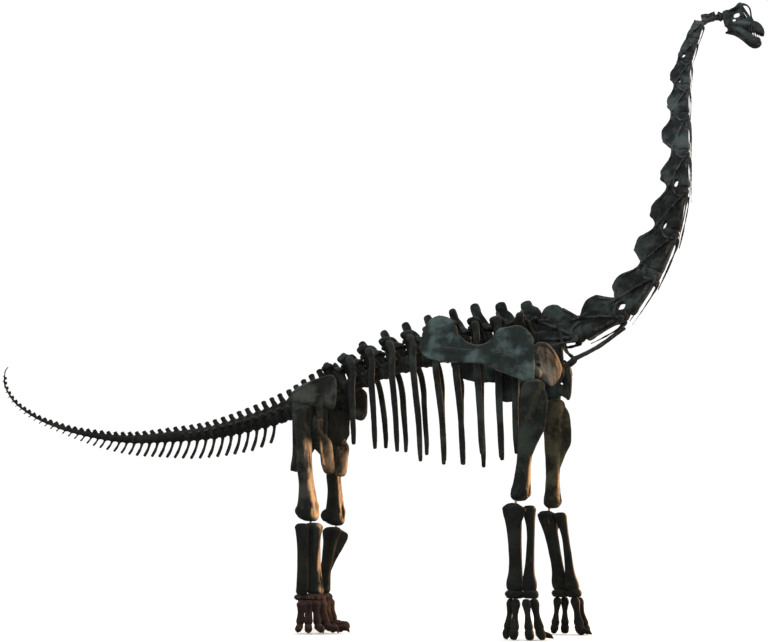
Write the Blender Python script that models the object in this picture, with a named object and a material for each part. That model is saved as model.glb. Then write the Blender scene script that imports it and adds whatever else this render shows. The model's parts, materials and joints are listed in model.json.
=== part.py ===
"""A still, life-size skeleton of a high-shouldered, long-necked dinosaur standing on its four feet.

+X is forward, +Y the animal's left and +Z up, in metres. Bones are placed from the hip joint, and at the
end the whole is moved so that its bounding box stands centred on the origin.
"""
import math

import bmesh
import bpy
import numpy as np

# Where the bounding box's middle lies, measured from the hip joint
CENTRE_X = 1.119935
CENTRE_Y = -0.514298

# The line of the vertebrae from the skull to the tail's tip: x, y and z of the neck's joints, then of the
# back and the tail
NECK_LINE = ((8.32, 0, 10.71), (8.21, 0, 10.76), (7.99, 0, 10.72), (7.82, 0, 10.42), (7.66, 0, 10.02),
             (7.56, 0, 9.52), (7.48, 0, 8.97), (7.40, 0, 8.24), (7.31, 0, 7.53), (7.08, 0, 6.77),
             (6.71, 0, 6.07), (6.17, 0, 5.42), (5.43, 0, 5.10), (4.61, 0, 5.06))
BACK_LINE = ((3.60, 0, 5.00), (2.60, 0, 4.95), (1.60, 0, 4.80), (0.60, 0, 4.50), (0.00, 0, 4.335),
             (-0.60, 0, 4.16))
TAIL_LINE = ((-1.52, -0.06, 3.97), (-2.41, -0.19, 3.83), (-3.28, -0.39, 3.77), (-4.12, -0.64, 3.74),
             (-4.94, -0.93, 3.85), (-5.60, -1.20, 4.03), (-6.17, -1.45, 4.30), (-6.60, -1.66, 4.67),
             (-6.71, -1.78, 4.95), (-6.61, -1.90, 5.15), (-6.31, -2.10, 5.22))
NECK_SPINES = (0.10, 0.12, 0.17, 0.22, 0.31, 0.33, 0.40, 0.41, 0.50, 0.54, 0.54, 0.58, 0.64)
NECK_SADDLES = (0.09, 0.10, 0.14, 0.17, 0.20, 0.215, 0.24, 0.22, 0.29, 0.35, 0.31, 0.34, 0.34, 0.36)
NECK_END = len(NECK_LINE) - 1
HIPS_END = NECK_END + len(BACK_LINE)
DORSALS = 10
DORSAL_LENGTH = 0.436
DORSAL_SPINE = 0.90
SACRALS = 5
CAUDALS = 48
FIRST_TO_LAST_CAUDAL = 1.9  # length of the first caudal over the last one's

# Rib cage: per rib from the first, its widest half-width and the height of its tip
RIB_WIDTHS = (0.56, 0.66, 0.78, 0.86, 0.90, 0.85, 0.80, 0.76, 0.72)
RIB_TIPS = (2.92, 2.82, 2.94, 2.78, 2.86, 2.88, 3.08, 3.16, 3.27)
FAR_RIB_LIFT = 0.12

# Girdles and limbs
SCAPULA_Y = 0.856
SCAPULA_TILT = 0.20
GLENOID_Z = 4.11
SUTURE_X = 4.70
SHOULDER_X = {"right": 4.68, "left": 4.60}
SHOULDER_Y = 0.85
HUMERUS_END = 2.16
FOREARM_TOP = 2.08
WRIST_Z = 0.74
CARPAL_END = 0.62
HIP = (0.05, 0.65)
SOCKET_Z = 4.12
ILIUM_Y = 0.38
PUBIS_TOP = 3.86
ISCHIUM_TOP = 3.98
FEMUR_END = 1.96
SHIN_TOP = 1.88
ANKLE_Z = 0.66
TARSAL_END = 0.55
# x of elbow, wrist, knee and ankle: the right fore foot stands behind the left, the right hind foot ahead
FORE_X = {"right": (4.34, 4.30), "left": (4.44, 4.61)}
HIND_X = {"right": (0.27, 0.35), "left": (0.13, -0.22)}
SHIN_SHIFT = {"right": 0.07, "left": -0.05}

GAP = 0.0003
INSET = 0.003
PIN_RADIUS = 0.022

BRONZE = (0.034, 0.042, 0.038)
RUST = (0.070, 0.036, 0.026)


# Curves

def smooth(points, steps):
    """Even curve through the rows of points, with this many steps between neighbours."""
    points = np.array(points, float)
    span = np.linalg.norm(np.diff(points[:, :3], axis=0), axis=1)
    at = np.concatenate([[0.0], np.cumsum(span)])[:, None]
    slope = np.diff(points, axis=0) / span[:, None]
    inner = (slope[:-1] * span[1:, None] + slope[1:] * span[:-1, None]) / (span[1:] + span[:-1])[:, None]
    slope = np.vstack([slope[:1], inner, slope[-1:]])
    t = np.linspace(0.0, 1.0, steps, endpoint=False)[:, None, None]
    h, p, q = np.diff(at, axis=0), points[:-1], points[1:]
    rows = (p * (1 + 2 * t) * (1 - t) ** 2 + q * t * t * (3 - 2 * t)
            + h * slope[:-1] * t * (1 - t) ** 2 - h * slope[1:] * t * t * (1 - t))
    return np.vstack([rows.transpose(1, 0, 2).reshape(-1, points.shape[1]), points[-1:]])


class Column:
    """The line through the vertebrae, with a frame at every length along it."""

    def __init__(self, points, steps=24):
        self.line = smooth(points, steps)
        step = np.linalg.norm(np.diff(self.line, axis=0), axis=1)
        self.length = np.concatenate([[0.0], np.cumsum(step)])
        self.joints = self.length[::steps]
        forward = -np.gradient(self.line, self.length, axis=0)
        forward /= np.linalg.norm(forward, axis=1)[:, None]
        left = np.zeros_like(forward)
        side = np.array([0.0, 1.0, 0.0])
        for i, tangent in enumerate(forward):
            side = side - side.dot(tangent) * tangent
            side /= np.linalg.norm(side)
            left[i] = side
        self.axes = np.stack([forward, left, np.cross(forward, left)], axis=1)

    def point(self, s):
        return np.array([np.interp(s, self.length, self.line[:, k]) for k in range(3)])

    def frame(self, s):
        """The place at length s and three unit rows: towards the head, to the left and up."""
        rows = np.array([[np.interp(s, self.length, self.axes[:, i, k]) for k in range(3)] for i in range(3)])
        return self.point(s), rows / np.linalg.norm(rows, axis=1)[:, None]


COLUMN = Column(NECK_LINE + BACK_LINE + TAIL_LINE)


# Pieces: vertices and faces of closed bodies

def loft(centres, across, deep, sides=8, fullness=1.0):
    """Closed body through rings: each has its centre and two half-axes as vectors. A fullness below 1
    takes the ellipse towards a box."""
    centres, across, deep = (np.asarray(v, float) for v in (centres, across, deep))
    angle = 2 * math.pi * (np.arange(sides) + (0.5 if sides == 4 else 0.25 * (fullness < 1))) / sides
    wide, high = (np.sign(v) * abs(v) ** fullness for v in (np.cos(angle), np.sin(angle)))
    rings = centres[:, None] + across[:, None] * wide[None, :, None] + deep[:, None] * high[None, :, None]
    count = len(centres)
    faces = [list(range(sides))[::-1], [(count - 1) * sides + k for k in range(sides)]]
    for i in range(count - 1):
        for k in range(sides):
            n = (k + 1) % sides
            faces.append([i * sides + k, i * sides + n, (i + 1) * sides + n, (i + 1) * sides + k])
    return rings.reshape(-1, 3), faces


def stack(rows, sides=8):
    """Upright bone of level rings: rows of z, x, y, half-length along X and half-width along Y."""
    rows = np.array(rows, float)
    zero = np.zeros(len(rows))
    return loft(rows[:, [1, 2, 0]], np.stack([rows[:, 3], zero, zero], 1),
                np.stack([zero, rows[:, 4], zero], 1), sides)


def rod(rows, sides=6, across=(0, 1, 0), steps=1, flat=1.0):
    """Bone along a path: rows of x, y, z and half-width, with its depth `flat` times the width."""
    rows = smooth(rows, steps) if steps > 1 else np.array(rows, float)
    along = np.gradient(rows[:, :3], axis=0)
    along /= np.linalg.norm(along, axis=1)[:, None]
    side = np.array(across, float) - along * (along @ np.array(across, float))[:, None]
    side /= np.linalg.norm(side, axis=1)[:, None]
    return loft(rows[:, :3], side * rows[:, 3:4], np.cross(along, side) * rows[:, 3:4] * flat, sides)


def placed(piece, origin, axes):
    """A piece made along forward, left and up, set in a vertebra's frame."""
    return origin + piece[0] @ axes, piece[1]


def mirrored(piece):
    return piece[0] * (1, -1, 1), [face[::-1] for face in piece[1]]


def sided(piece, side):
    """A piece made on the left, kept there or mirrored to the right."""
    return piece if side > 0 else mirrored(piece)


def pressed(piece, point, normal, where=None):
    """Moves what lies past a plane back onto it, which leaves a flat."""
    verts = np.array(piece[0], float)
    past = np.maximum((verts - np.array(point)) @ np.array(normal, float), 0)
    if where is not None:
        past = past * where(verts)
    return verts - past[:, None] * np.array(normal, float), piece[1]


# Nodes

def material(name, colour, roughness, metallic):
    made = bpy.data.materials.get(name)
    if made is None:
        made = bpy.data.materials.new(name)
        made.use_nodes = True
        shader = made.node_tree.nodes["Principled BSDF"]
        shader.inputs["Base Color"].default_value = (*colour, 1)
        shader.inputs["Roughness"].default_value = roughness
        shader.inputs["Metallic"].default_value = metallic
        made.diffuse_color = (*colour, 1)
    return made


def mesh_object(name, piece):
    mesh = bpy.data.meshes.new(name)
    mesh.from_pydata([tuple(v) for v in piece[0]], [], piece[1])
    body = bmesh.new()
    body.from_mesh(mesh)
    bmesh.ops.recalc_face_normals(body, faces=body.faces)
    body.to_mesh(mesh)
    body.free()
    found = bpy.data.objects.new(name, mesh)
    bpy.context.scene.collection.objects.link(found)
    return found


def applied(body):
    """Puts the modified mesh in place of the object's own."""
    seen = body.evaluated_get(bpy.context.evaluated_depsgraph_get())
    mesh = bpy.data.meshes.new_from_object(seen)
    body.modifiers.clear()
    body.data = mesh
    return body


def largest_only(body):
    """Keeps the largest closed surface, without the crumbs that a union may leave."""
    work = bmesh.new()
    work.from_mesh(body.data)
    left, groups = set(work.faces), []
    while left:
        group, edge = set(), [left.pop()]
        while edge:
            face = edge.pop()
            group.add(face)
            near = [other for line in face.edges if len(line.link_faces) == 2 for other in line.link_faces]
            fresh = {other for other in near if other in left}
            left.difference_update(fresh)
            edge.extend(fresh)
        groups.append(group)
    groups.sort(key=len)
    for group in groups[:-1]:
        bmesh.ops.delete(work, geom=list(group), context="FACES")
    work.to_mesh(body.data)
    work.free()


def node(name, pieces, colour=BRONZE, cutters=()):
    """Joins the pieces into one body, takes the cutters away and gives it its finish."""
    body = mesh_object(name, pieces[0])
    for kind, parts in (("UNION", pieces[1:]), ("DIFFERENCE", cutters)):
        if not len(parts):
            continue
        group = bpy.data.collections.new(name + "_" + kind.lower())
        bpy.context.scene.collection.children.link(group)
        for i, piece in enumerate(parts):
            part = mesh_object(f"{name}_{kind.lower()}_{i}", piece)
            bpy.context.scene.collection.objects.unlink(part)
            group.objects.link(part)
        join = body.modifiers.new(kind, "BOOLEAN")
        join.operation, join.solver = kind, "MANIFOLD"
        join.operand_type, join.collection = "COLLECTION", group
        applied(body)
        for part in list(group.objects):
            bpy.data.objects.remove(part)
        bpy.data.collections.remove(group)
    largest_only(body)
    body.data.materials.clear()
    body.data.materials.append(material(name, colour, 0.45, 0.35))
    for polygon in body.data.polygons:
        polygon.use_smooth = True
    return body


# The column

def joints_between(first, last, count, ratio=1.0):
    """Lengths along the column that part it into `count` vertebrae, the first `ratio` times the last."""
    sizes = np.linspace(ratio, 1.0, count)
    return first + (last - first) * np.concatenate([[0.0], np.cumsum(sizes)]) / sizes.sum()


def centra(joints, radius, rings=((0.0, 1.06), (0.22, 0.84), (0.78, 0.84)), sides=8, squash=1.0):
    """One body of waisted centra, between the first and the last joint."""
    stations, radii = [], []
    for front, rear in zip(joints[:-1], joints[1:]):
        for part, size in rings:
            stations.append(front + (rear - front) * part)
            radii.append(size * radius(stations[-1]))
    stations.append(joints[-1])
    radii.append(1.06 * radius(joints[-1]))
    stations[0] += GAP / 2
    stations[-1] -= GAP / 2
    frames = [COLUMN.frame(s) for s in stations]
    centres = [frame[0] for frame in frames]
    across = [frame[1][1] * r for frame, r in zip(frames, radii)]
    deep = [frame[1][2] * r * squash for frame, r in zip(frames, radii)]
    return loft(centres, across, deep, sides)


def arch(length, radius, front, rear, width):
    """Body over the centrum, from its front joint process to its rear one, `front` and `rear` high."""
    deck = 0.5 * (front + rear)
    lip = 0.28 * radius
    rows = ((0.47, front - lip, 0.9 * width, lip), (0.22, 0.5 * deck, 0.8 * width, 0.53 * deck),
            (-0.22, 0.5 * deck, 0.8 * width, 0.56 * deck), (-0.47, rear - lip, 0.9 * width, lip))
    centres = [(part * length, 0, up) for part, up, _, _ in rows]
    return loft(centres, [(0, w, 0) for _, _, w, _ in rows], [(0, 0, h) for _, _, _, h in rows], 6)


def spine(bottom, top, long, wide, lean, tip=1.0):
    """Plate standing on the arch, leaning back by `lean` at its top, which is rounded and thicker."""
    rows = ((bottom, 0, 1.35, 0.9), (bottom + 0.8 * (top - bottom), 0.82, tip, 0.9),
            (top, 1.0, 0.8 * tip, 1.3))
    centres = [(-lean * part, 0, up) for up, part, _, _ in rows]
    return loft(centres, [(1.25 * long * a, 0, 0) for _, _, a, _ in rows],
                [(0, 1.25 * wide * b, 0) for _, _, _, b in rows], 4)


def tower(length, height, lean, tip):
    """Arch and spine of a trunk vertebra in one: broad over the centrum, then a plate up to its tip."""
    rows = ((0.05, 0, 0.42 * length, 0.10), (0.30, 0.2, 0.36 * length, 0.11),
            (0.42, 0.3, 0.22 * length, 0.05), (height - 0.12, 0.95, 0.20 * length, 0.045),
            (height, 1, 0.24 * length * tip, 0.065))
    return loft([(-lean * part, 0, up) for up, part, _, _ in rows], [(1.2 * a, 0, 0) for _, _, a, _ in rows],
                [(0, 1.2 * b, 0) for _, _, _, b in rows], 4, 0.8)


def squeezed(pieces, first, last):
    """Keeps pieces between the end planes of a stretch of the column."""
    start, end = COLUMN.frame(first + INSET), COLUMN.frame(last - INSET)
    return [pressed(pressed(piece, start[0], start[1][0]), end[0], -end[1][0]) for piece in pieces]


def neck_radius(s):
    part = s / COLUMN.joints[NECK_END]
    return 0.055 + 0.105 * part ** 0.8


def cervical(number, front, rear):
    """Arch, spine and the pair of long thin ribs of a neck vertebra."""
    length, middle = rear - front, 0.5 * (front + rear)
    radius, height = neck_radius(middle), NECK_SPINES[number]
    origin, axes = COLUMN.frame(middle)
    front_saddle, rear_saddle = NECK_SADDLES[number:number + 2]
    pieces = [arch(length, radius, front_saddle, rear_saddle, 0.75 * radius + 0.02),
              spine(0.6 * rear_saddle, height, 0.23 * length, 0.30 * radius + 0.01, 0.06 * length, 0.9)]
    if number > 1:
        for side in (1, -1):
            pieces.append(sided(rod(((0.34 * length, 0.2 * radius, -0.35 * radius, 0.40 * radius),
                                     (0.33 * length, 1.0 * radius, -0.75 * radius, 0.36 * radius),
                                     (0.18 * length, 1.10 * radius, -1.02 * radius, 0.22 * radius),
                                     (-0.46 * length, 0.95 * radius, -1.08 * radius, 0.06 * radius)),
                                    5, (1, 0, 0.3)), side))
    return [placed(piece, origin, axes) for piece in pieces]


def neck():
    for name, first, last in (("neck_upper", 0, 5), ("neck_middle", 5, 9), ("neck_lower", 9, 13)):
        joints = COLUMN.joints[first:last + 1]
        pieces = []
        for number in range(first, last):
            pieces += cervical(number, *COLUMN.joints[number:number + 2])
        node(name, [centra(joints, neck_radius)] + squeezed(pieces, joints[0], joints[-1]))


def rib(number, x, z, side):
    """One rib from the arch's side down to its tip: a round neck, then a flat blade."""
    wide, tip = RIB_WIDTHS[number], RIB_TIPS[number] + (FAR_RIB_LIFT if side > 0 else 0)
    forward = np.interp(number, (0, 1, 2, 4, 8), (-0.13, 0.06, 0.15, 0.33, 0.26))
    inner = min(0.70, 0.40 + 0.42 * wide)
    path = ((x, 0.06, z + 0.20, 0.045), (x + 0.05 * forward, 0.34, z + 0.30, 0.05),
            (x + 0.50 * forward, 0.72 * wide, z + 0.14, 0.055),
            (x + 0.75 * forward, 0.95 * wide, z - 0.32, 0.055),
            (x + 0.80 * forward, 0.5 * wide + 0.29, z - 0.85, 0.05),
            (x + 0.93 * forward, inner, 0.4 * z + 0.6 * tip, 0.05), (x + forward, inner, tip, 0.035))
    return sided(rod(path, 5, (1, 0, 0), 1, 0.6), side)


def dorsal_radius(s):
    return 0.150


def torso():
    start = COLUMN.joints[NECK_END]
    joints = joints_between(start, start + DORSALS * DORSAL_LENGTH, DORSALS)
    for name, side in (("torso_right", -1), ("torso_left", 1)):
        pieces, ribs = [centra(joints, dorsal_radius, ((0.0, 1.06), (0.5, 0.78)))], []
        for number in range(DORSALS):
            front, rear = joints[number:number + 2]
            origin, axes = COLUMN.frame(0.5 * (front + rear))
            height = DORSAL_SPINE * np.interp(number, (0, 2, 6, 9), (0.88, 1.04, 0.93, 0.78))
            wing = 0.40 if number < 9 else 0.30
            process = rod(((0, -0.02, 0.30, 0.10), (-0.02, wing, 0.41, 0.065)), 5, (1, 0, 0), 1, 0.6)
            bone = [tower(rear - front, height, 0.16, 1.0), sided(process, side)]
            pieces += squeezed([placed(piece, origin, axes) for piece in bone], front, rear)
            if number < len(RIB_WIDTHS):
                ribs.append(rib(number, origin[0], origin[2], side))
        half = [pressed(piece, (0, side * GAP / 2, 0), (0, -side, 0)) for piece in pieces]
        flat = np.array((0, side, SCAPULA_TILT)) / math.hypot(1, SCAPULA_TILT)
        ribs = [pressed(piece, (0, side * (SCAPULA_Y - GAP), 4.6), flat) for piece in ribs]
        node(name, half + ribs)
    return joints[-1]


def sacrum(first):
    last = COLUMN.joints[HIPS_END]
    joints = joints_between(first, last, SACRALS)
    pieces = []
    for number in range(SACRALS):
        front, rear = joints[number:number + 2]
        origin, axes = COLUMN.frame(0.5 * (front + rear))
        height = np.interp(number, (0, 4), (0.60, 0.46))
        pieces.append(placed(tower(1.3 * (rear - front), height, 0.03, 1.1), origin, axes))
        if -0.32 < origin[0] < 0.5:
            bar = [(origin[0], y, origin[2] + 0.04, 0.06) for y in (-ILIUM_Y + GAP / 2, ILIUM_Y - GAP / 2)]
            pieces.append(rod(bar, 5, (1, 0, 0), 1, 1.5))
    node("sacrum", [centra(joints, dorsal_radius, ((0.0, 1.03), (0.5, 0.9)))]
         + squeezed(pieces, first, last))
    return last


def tail_radius(s):
    part = (s - COLUMN.joints[HIPS_END]) / (COLUMN.length[-1] - COLUMN.joints[HIPS_END])
    return np.interp(part, (0, 0.08, 0.2, 0.33, 0.45, 0.57, 0.7, 0.85, 1),
                     (0.165, 0.165, 0.145, 0.115, 0.085, 0.056, 0.034, 0.020, 0.010))


def caudal(number, front, rear):
    length, radius = rear - front, tail_radius(0.5 * (front + rear))
    origin, axes = COLUMN.frame(0.5 * (front + rear))
    height = np.interp(number, (0, 4, 9, 14, 22, 34), (0.44, 0.34, 0.24, 0.20, 0.14, 0.05))
    pieces = []
    if number < 34:
        pieces.append(spine(0.5 * radius, height, 0.24 * length, 0.22 * radius + 0.006, 0.45 * length, 0.9))
    if number < 13:
        reach = radius * np.interp(number, (0, 12), (2.3, 1.25))
        pieces.append(rod(((-0.05 * length, -reach, 0.1 * radius, 0.15 * length),
                           (0, 0, 0.25 * radius, 0.28 * length),
                           (-0.05 * length, reach, 0.1 * radius, 0.15 * length)), 4, (1, 0, 0), 1, 0.5))
    if 0 < number < 28:
        drop = np.interp(number, (1, 3, 10, 16, 28), (0.34, 0.40, 0.36, 0.26, 0.05))
        pieces.append(rod(((-0.30 * length, 0, -0.7 * radius, 0.022),
                           (-0.42 * length, 0, -radius - 0.5 * drop, 0.02),
                           (-0.40 * length - 0.1 * drop, 0, -radius - drop, 0.014)), 4, (0, 1, 0), 1, 1.8))
    return [placed(piece, origin, axes) for piece in pieces]


def tail(first):
    joints = joints_between(first, COLUMN.length[-1], CAUDALS, FIRST_TO_LAST_CAUDAL)
    for name, start, end in (("tail_base", 0, 9), ("tail_middle", 9, 19), ("tail_rear", 19, 31),
                             ("tail_tip", 31, CAUDALS)):
        pieces = []
        for number in range(start, end):
            pieces += caudal(number, *joints[number:number + 2])
        rings = ((0.0, 1.05), (0.5, 0.8))
        node(name, [centra(joints[start:end + 1], tail_radius, rings, 6)]
             + squeezed(pieces, joints[start], joints[end]))


# The head

def upright(rows, sides=8, fullness=1.0):
    """Body of slices across X: rows of x, top and bottom z, y and half-width."""
    rows = np.array(rows, float)
    zero = np.zeros(len(rows))
    high = 0.5 * (rows[:, 1] - rows[:, 2])
    centres = np.stack([rows[:, 0], rows[:, 3], rows[:, 1] - high], 1)
    return loft(centres, np.stack([zero, rows[:, 4], zero], 1), np.stack([zero, zero, high], 1), sides, fullness)


def cross_hole(x, z, long, high, turn=0.0):
    """Oval bar right across the head, to cut an opening with."""
    c, s = math.cos(math.radians(turn)), math.sin(math.radians(turn))
    ends = [(x, y, z) for y in (-0.4, 0.4)]
    return loft(ends, [(long * c, 0, long * s)] * 2, [(-high * s, 0, high * c)] * 2, 10)


def tooth(x, y, z, down, size):
    """Blunt cone on a jaw's edge."""
    rows = ((z - 0.03 * down, x, y, 0.5 * size, 0.4 * size),
            (z + down * 0.6 * size, x, y, 0.6 * size, 0.4 * size),
            (z + down * 1.9 * size, x, y, 0.15 * size, 0.1 * size))
    return stack(rows, 4)


def jaw_curve(part, rear_x, tip_x, wide):
    """Place on a jaw's edge seen from above, from the rear (0) round to the tip (1)."""
    angle = part * math.pi / 2
    return rear_x + (tip_x - rear_x) * math.sin(angle) ** 0.9, wide * math.cos(angle) ** 0.5


def head():
    end = COLUMN.frame(-GAP / 2)
    vault = ((8.37, 10.83, 10.50, 0, 0.10), (8.44, 10.88, 10.43, 0, 0.15), (8.56, 10.905, 10.335, 0, 0.165),
             (8.66, 10.92, 10.29, 0, 0.145), (8.73, 10.89, 10.26, 0, 0.125), (8.785, 10.78, 10.24, 0, 0.118),
             (8.80, 10.55, 10.235, 0, 0.115), (8.86, 10.46, 10.21, 0, 0.115), (8.93, 10.37, 10.18, 0, 0.09),
             (8.965, 10.29, 10.17, 0, 0.05))
    muzzle = ((8.56, 10.42, 10.335, 0, 0.12), (8.66, 10.40, 10.285, 0, 0.125),
              (8.80, 10.36, 10.23, 0, 0.118), (8.90, 10.30, 10.19, 0, 0.10), (8.95, 10.26, 10.175, 0, 0.07))
    condyle = rod(((8.33, 0, 10.712, 0.045), (8.46, 0, 10.68, 0.07)), 8)
    pieces = [upright(vault, 12, 0.7), upright(muzzle, 12, 0.6),
              pressed(condyle, COLUMN.frame(0)[0] + end[1][0] * GAP / 2, -end[1][0])]
    for side in (1, -1):
        pieces.append(stack(((10.62, 8.42, side * 0.12, 0.06, 0.035), (10.50, 8.40, side * 0.13, 0.05, 0.03),
                             (10.4403, 8.385, side * 0.13, 0.04, 0.03)), 6))
        for part in np.linspace(0.34, 0.94, 5):
            x, y = jaw_curve(part, 8.60, 8.945, 0.105)
            pieces.append(tooth(x, side * y, np.interp(x, (8.6, 8.95), (10.325, 10.185)), -1, 0.022))
    holes = [cross_hole(8.725, 10.715, 0.046, 0.125, -14), cross_hole(8.555, 10.69, 0.05, 0.075, 10),
             cross_hole(8.685, 10.62, 0.018, 0.09, 22), cross_hole(8.515, 10.56, 0.032, 0.05, -20)]
    node("skull", pieces, cutters=holes)


def jaw():
    pieces = []
    for side in (1, -1):
        rows = ((8.335, 10.455, 10.41, side * 0.13, 0.018), (8.385, 10.455, 10.375, side * 0.13, 0.028),
                (8.48, 10.365, 10.29, side * 0.125, 0.026), (8.60, 10.28, 10.14, side * 0.115, 0.024),
                (8.68, 10.24, 10.02, side * 0.10, 0.024), (8.77, 10.16, 9.955, side * 0.075, 0.028),
                (8.85, 10.08, 9.96, side * 0.04, 0.034), (8.89, 10.035, 9.985, side * 0.012, 0.026))
        pieces.append(upright(rows, 8, 0.8))
        for part in np.linspace(0.40, 0.92, 5):
            x, y = jaw_curve(part, 8.58, 8.88, 0.10)
            edge = np.interp(x, (8.6, 8.68, 8.77, 8.9), (10.27, 10.23, 10.15, 10.03))
            pieces.append(tooth(x, side * y, edge, 1, 0.020))
    node("jaw", [pressed(piece, (0, 0, 10.44), (0, 0, 1), lambda v: v[:, 0] < 8.44) for piece in pieces])


# Shoulder girdle and fore limbs

def scapula(name, side):
    rows = ((2.59, 5.10, 4.92), (2.65, 5.34, 4.80), (2.78, 5.51, 4.70), (2.95, 5.545, 4.63),
            (3.15, 5.46, 4.58), (3.36, 5.08, 4.56), (3.72, 4.86, 4.50), (3.92, 4.92, 4.42), (4.08, 5.12, 4.33),
            (4.38, 5.16, 4.17), (4.52, 5.11, 4.08), (SUTURE_X - GAP / 2, 4.88, 4.08))
    centres, thick, high = [], [], []
    for x, top, bottom in rows:
        middle, half = 0.5 * (top + bottom), 0.5 * (top - bottom)
        inward = np.interp(x, (3.9, 4.7), (0.0, 0.10))
        centres.append((x, SCAPULA_Y + 0.020 - inward - SCAPULA_TILT * (middle - 4.6), middle))
        thick.append((0, 0.034 + 0.035 * (x > 4.3), 0))
        high.append((0, -SCAPULA_TILT * half, half))
    plate = loft(centres, thick, high, 10, 0.6)
    flat = -np.array((0, 1, SCAPULA_TILT)) / math.hypot(1, SCAPULA_TILT)
    plate = pressed(plate, (0, SCAPULA_Y, 4.6), flat, lambda v: v[:, 0] < 4.0)
    plate = pressed(plate, (0, 0, GLENOID_Z), (0, 0, -1))
    node(name, [sided(plate, side)])


def coracoid(name, side):
    rows = ((SUTURE_X + GAP / 2, 4.76, 4.17, 0.805, 0.06), (4.80, 4.81, 4.13, 0.74, 0.06),
            (4.90, 4.80, 4.05, 0.65, 0.07), (4.97, 4.67, 4.05, 0.56, 0.08), (5.02, 4.49, 4.13, 0.47, 0.08),
            (5.04, 4.39, 4.21, 0.43, 0.06))
    hole = loft([(4.80, y, 4.38) for y in (0.5, 1.1)], [(0.025, 0, 0)] * 2, [(0, 0, 0.025)] * 2, 6)
    node(name, [sided(upright(rows, 8), side)], cutters=[sided(hole, side)])


def limb(rows, top, bottom, sides=8):
    """Upright bone between two joints given as (z, x, y): rows of part of the way down, x shift, y shift,
    half-length and half-width."""
    rows = np.array(rows, float)
    part = rows[:, :1]
    line = np.array(top) + (np.array(bottom) - np.array(top)) * part
    line[:, 1] += rows[:, 1]
    line[:, 2] += rows[:, 2]
    return stack(np.hstack([line, rows[:, 3:5]]), sides)


def crest(top, bottom, rows, way, wide):
    """Plate standing out from a bone: rows of part of the way down and how far out its edge lies."""
    way = np.array((*way, 0.0)) / np.linalg.norm(way)
    rows = np.array(rows, float)
    line = (np.array(top) + (np.array(bottom) - np.array(top)) * rows[:, :1])[:, [1, 2, 0]]
    half = 0.5 * rows[:, 1:]
    return loft(line + way * half, way * half, np.cross((0, 0, 1), way) * wide * np.ones((len(rows), 1)), 6)


HUMERUS = ((0, 0, 0, 0.13, 0.12), (0.03, 0, 0.01, 0.19, 0.20), (0.10, 0.0, 0.02, 0.20, 0.21),
           (0.32, 0.0, 0.01, 0.18, 0.13), (0.55, 0.0, 0, 0.14, 0.11),
           (0.72, 0, 0, 0.125, 0.11), (0.88, 0, 0, 0.15, 0.17), (0.96, 0, 0, 0.16, 0.18),
           (1, 0, 0, 0.12, 0.14))
FEMUR = ((0, 0, -0.16, 0.11, 0.14), (0.03, 0, -0.09, 0.15, 0.24), (0.08, 0, -0.04, 0.15, 0.25),
         (0.17, 0, 0, 0.13, 0.21), (0.38, 0, 0, 0.13, 0.18), (0.55, -0.02, 0, 0.14, 0.16),
         (0.70, 0, 0, 0.14, 0.16), (0.86, 0, 0, 0.18, 0.2), (0.95, -0.01, 0, 0.215, 0.22),
         (1, 0.02, 0, 0.14, 0.16))
ULNA = ((0, 0, 0, 0.12, 0.11), (0.05, 0, 0, 0.165, 0.15), (0.2, 0, 0, 0.13, 0.11), (0.5, 0, 0, 0.095, 0.08),
        (0.8, 0, 0, 0.10, 0.08), (0.94, 0, 0, 0.135, 0.11), (1, 0, 0, 0.12, 0.10))
RADIUS = ((0, 0, 0, 0.075, 0.09), (0.06, 0, 0, 0.095, 0.11), (0.25, 0, 0, 0.06, 0.07),
          (0.55, 0, 0, 0.055, 0.06), (0.85, 0, 0, 0.075, 0.08), (0.95, 0, 0, 0.095, 0.10), (1, 0, 0, 0.08, 0.09))
TIBIA = ((0, 0, 0, 0.17, 0.13), (0.05, 0, 0, 0.195, 0.15), (0.16, 0, 0, 0.16, 0.125), (0.4, 0, 0, 0.125, 0.10),
         (0.7, 0, 0, 0.115, 0.10), (0.92, 0, 0, 0.15, 0.13), (1, 0, 0, 0.13, 0.11))
FIBULA = ((0, 0, 0, 0.11, 0.045), (0.06, 0, 0, 0.13, 0.05), (0.25, 0, 0, 0.10, 0.045),
          (0.6, 0, 0, 0.09, 0.045), (0.93, 0, 0, 0.115, 0.055), (1, 0, 0, 0.10, 0.05))


def pin(x, y, low, high):
    bpy.ops.mesh.primitive_cylinder_add(vertices=10, radius=PIN_RADIUS, depth=high - low,
                                        location=(x, y, 0.5 * (low + high)))
    made = bpy.context.object
    bpy.context.view_layer.update()
    piece = (np.array([made.matrix_world @ v.co for v in made.data.vertices]),
             [list(face.vertices) for face in made.data.polygons])
    bpy.data.objects.remove(made)
    return piece


def fore_limb(word, side):
    elbow, wrist = FORE_X[word]
    y = SHOULDER_Y
    ends = (GLENOID_Z - GAP, SHOULDER_X[word], y), (HUMERUS_END, elbow, y)
    plate = crest(*ends, ((0.05, 0.16), (0.14, 0.28), (0.30, 0.30), (0.44, 0.24), (0.54, 0.09)), (1, 1), 0.055)
    node("humerus_" + word, [sided(limb(HUMERUS, *ends), side), sided(plate, side)])
    ulna = limb(ULNA, (FOREARM_TOP, elbow - 0.12, y + 0.02), (WRIST_Z, wrist - 0.10, y + 0.02))
    prop = pin(elbow - 0.06, y + 0.02, FOREARM_TOP - 0.15, HUMERUS_END - GAP)
    node("ulna_" + word, [sided(ulna, side), sided(prop, side)])
    radius = limb(RADIUS, (FOREARM_TOP - 0.04, elbow + 0.165, y - 0.03), (WRIST_Z, wrist + 0.15, y - 0.03))
    node("radius_" + word, [sided(radius, side)])
    fore_foot(word, side, wrist, y)


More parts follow.
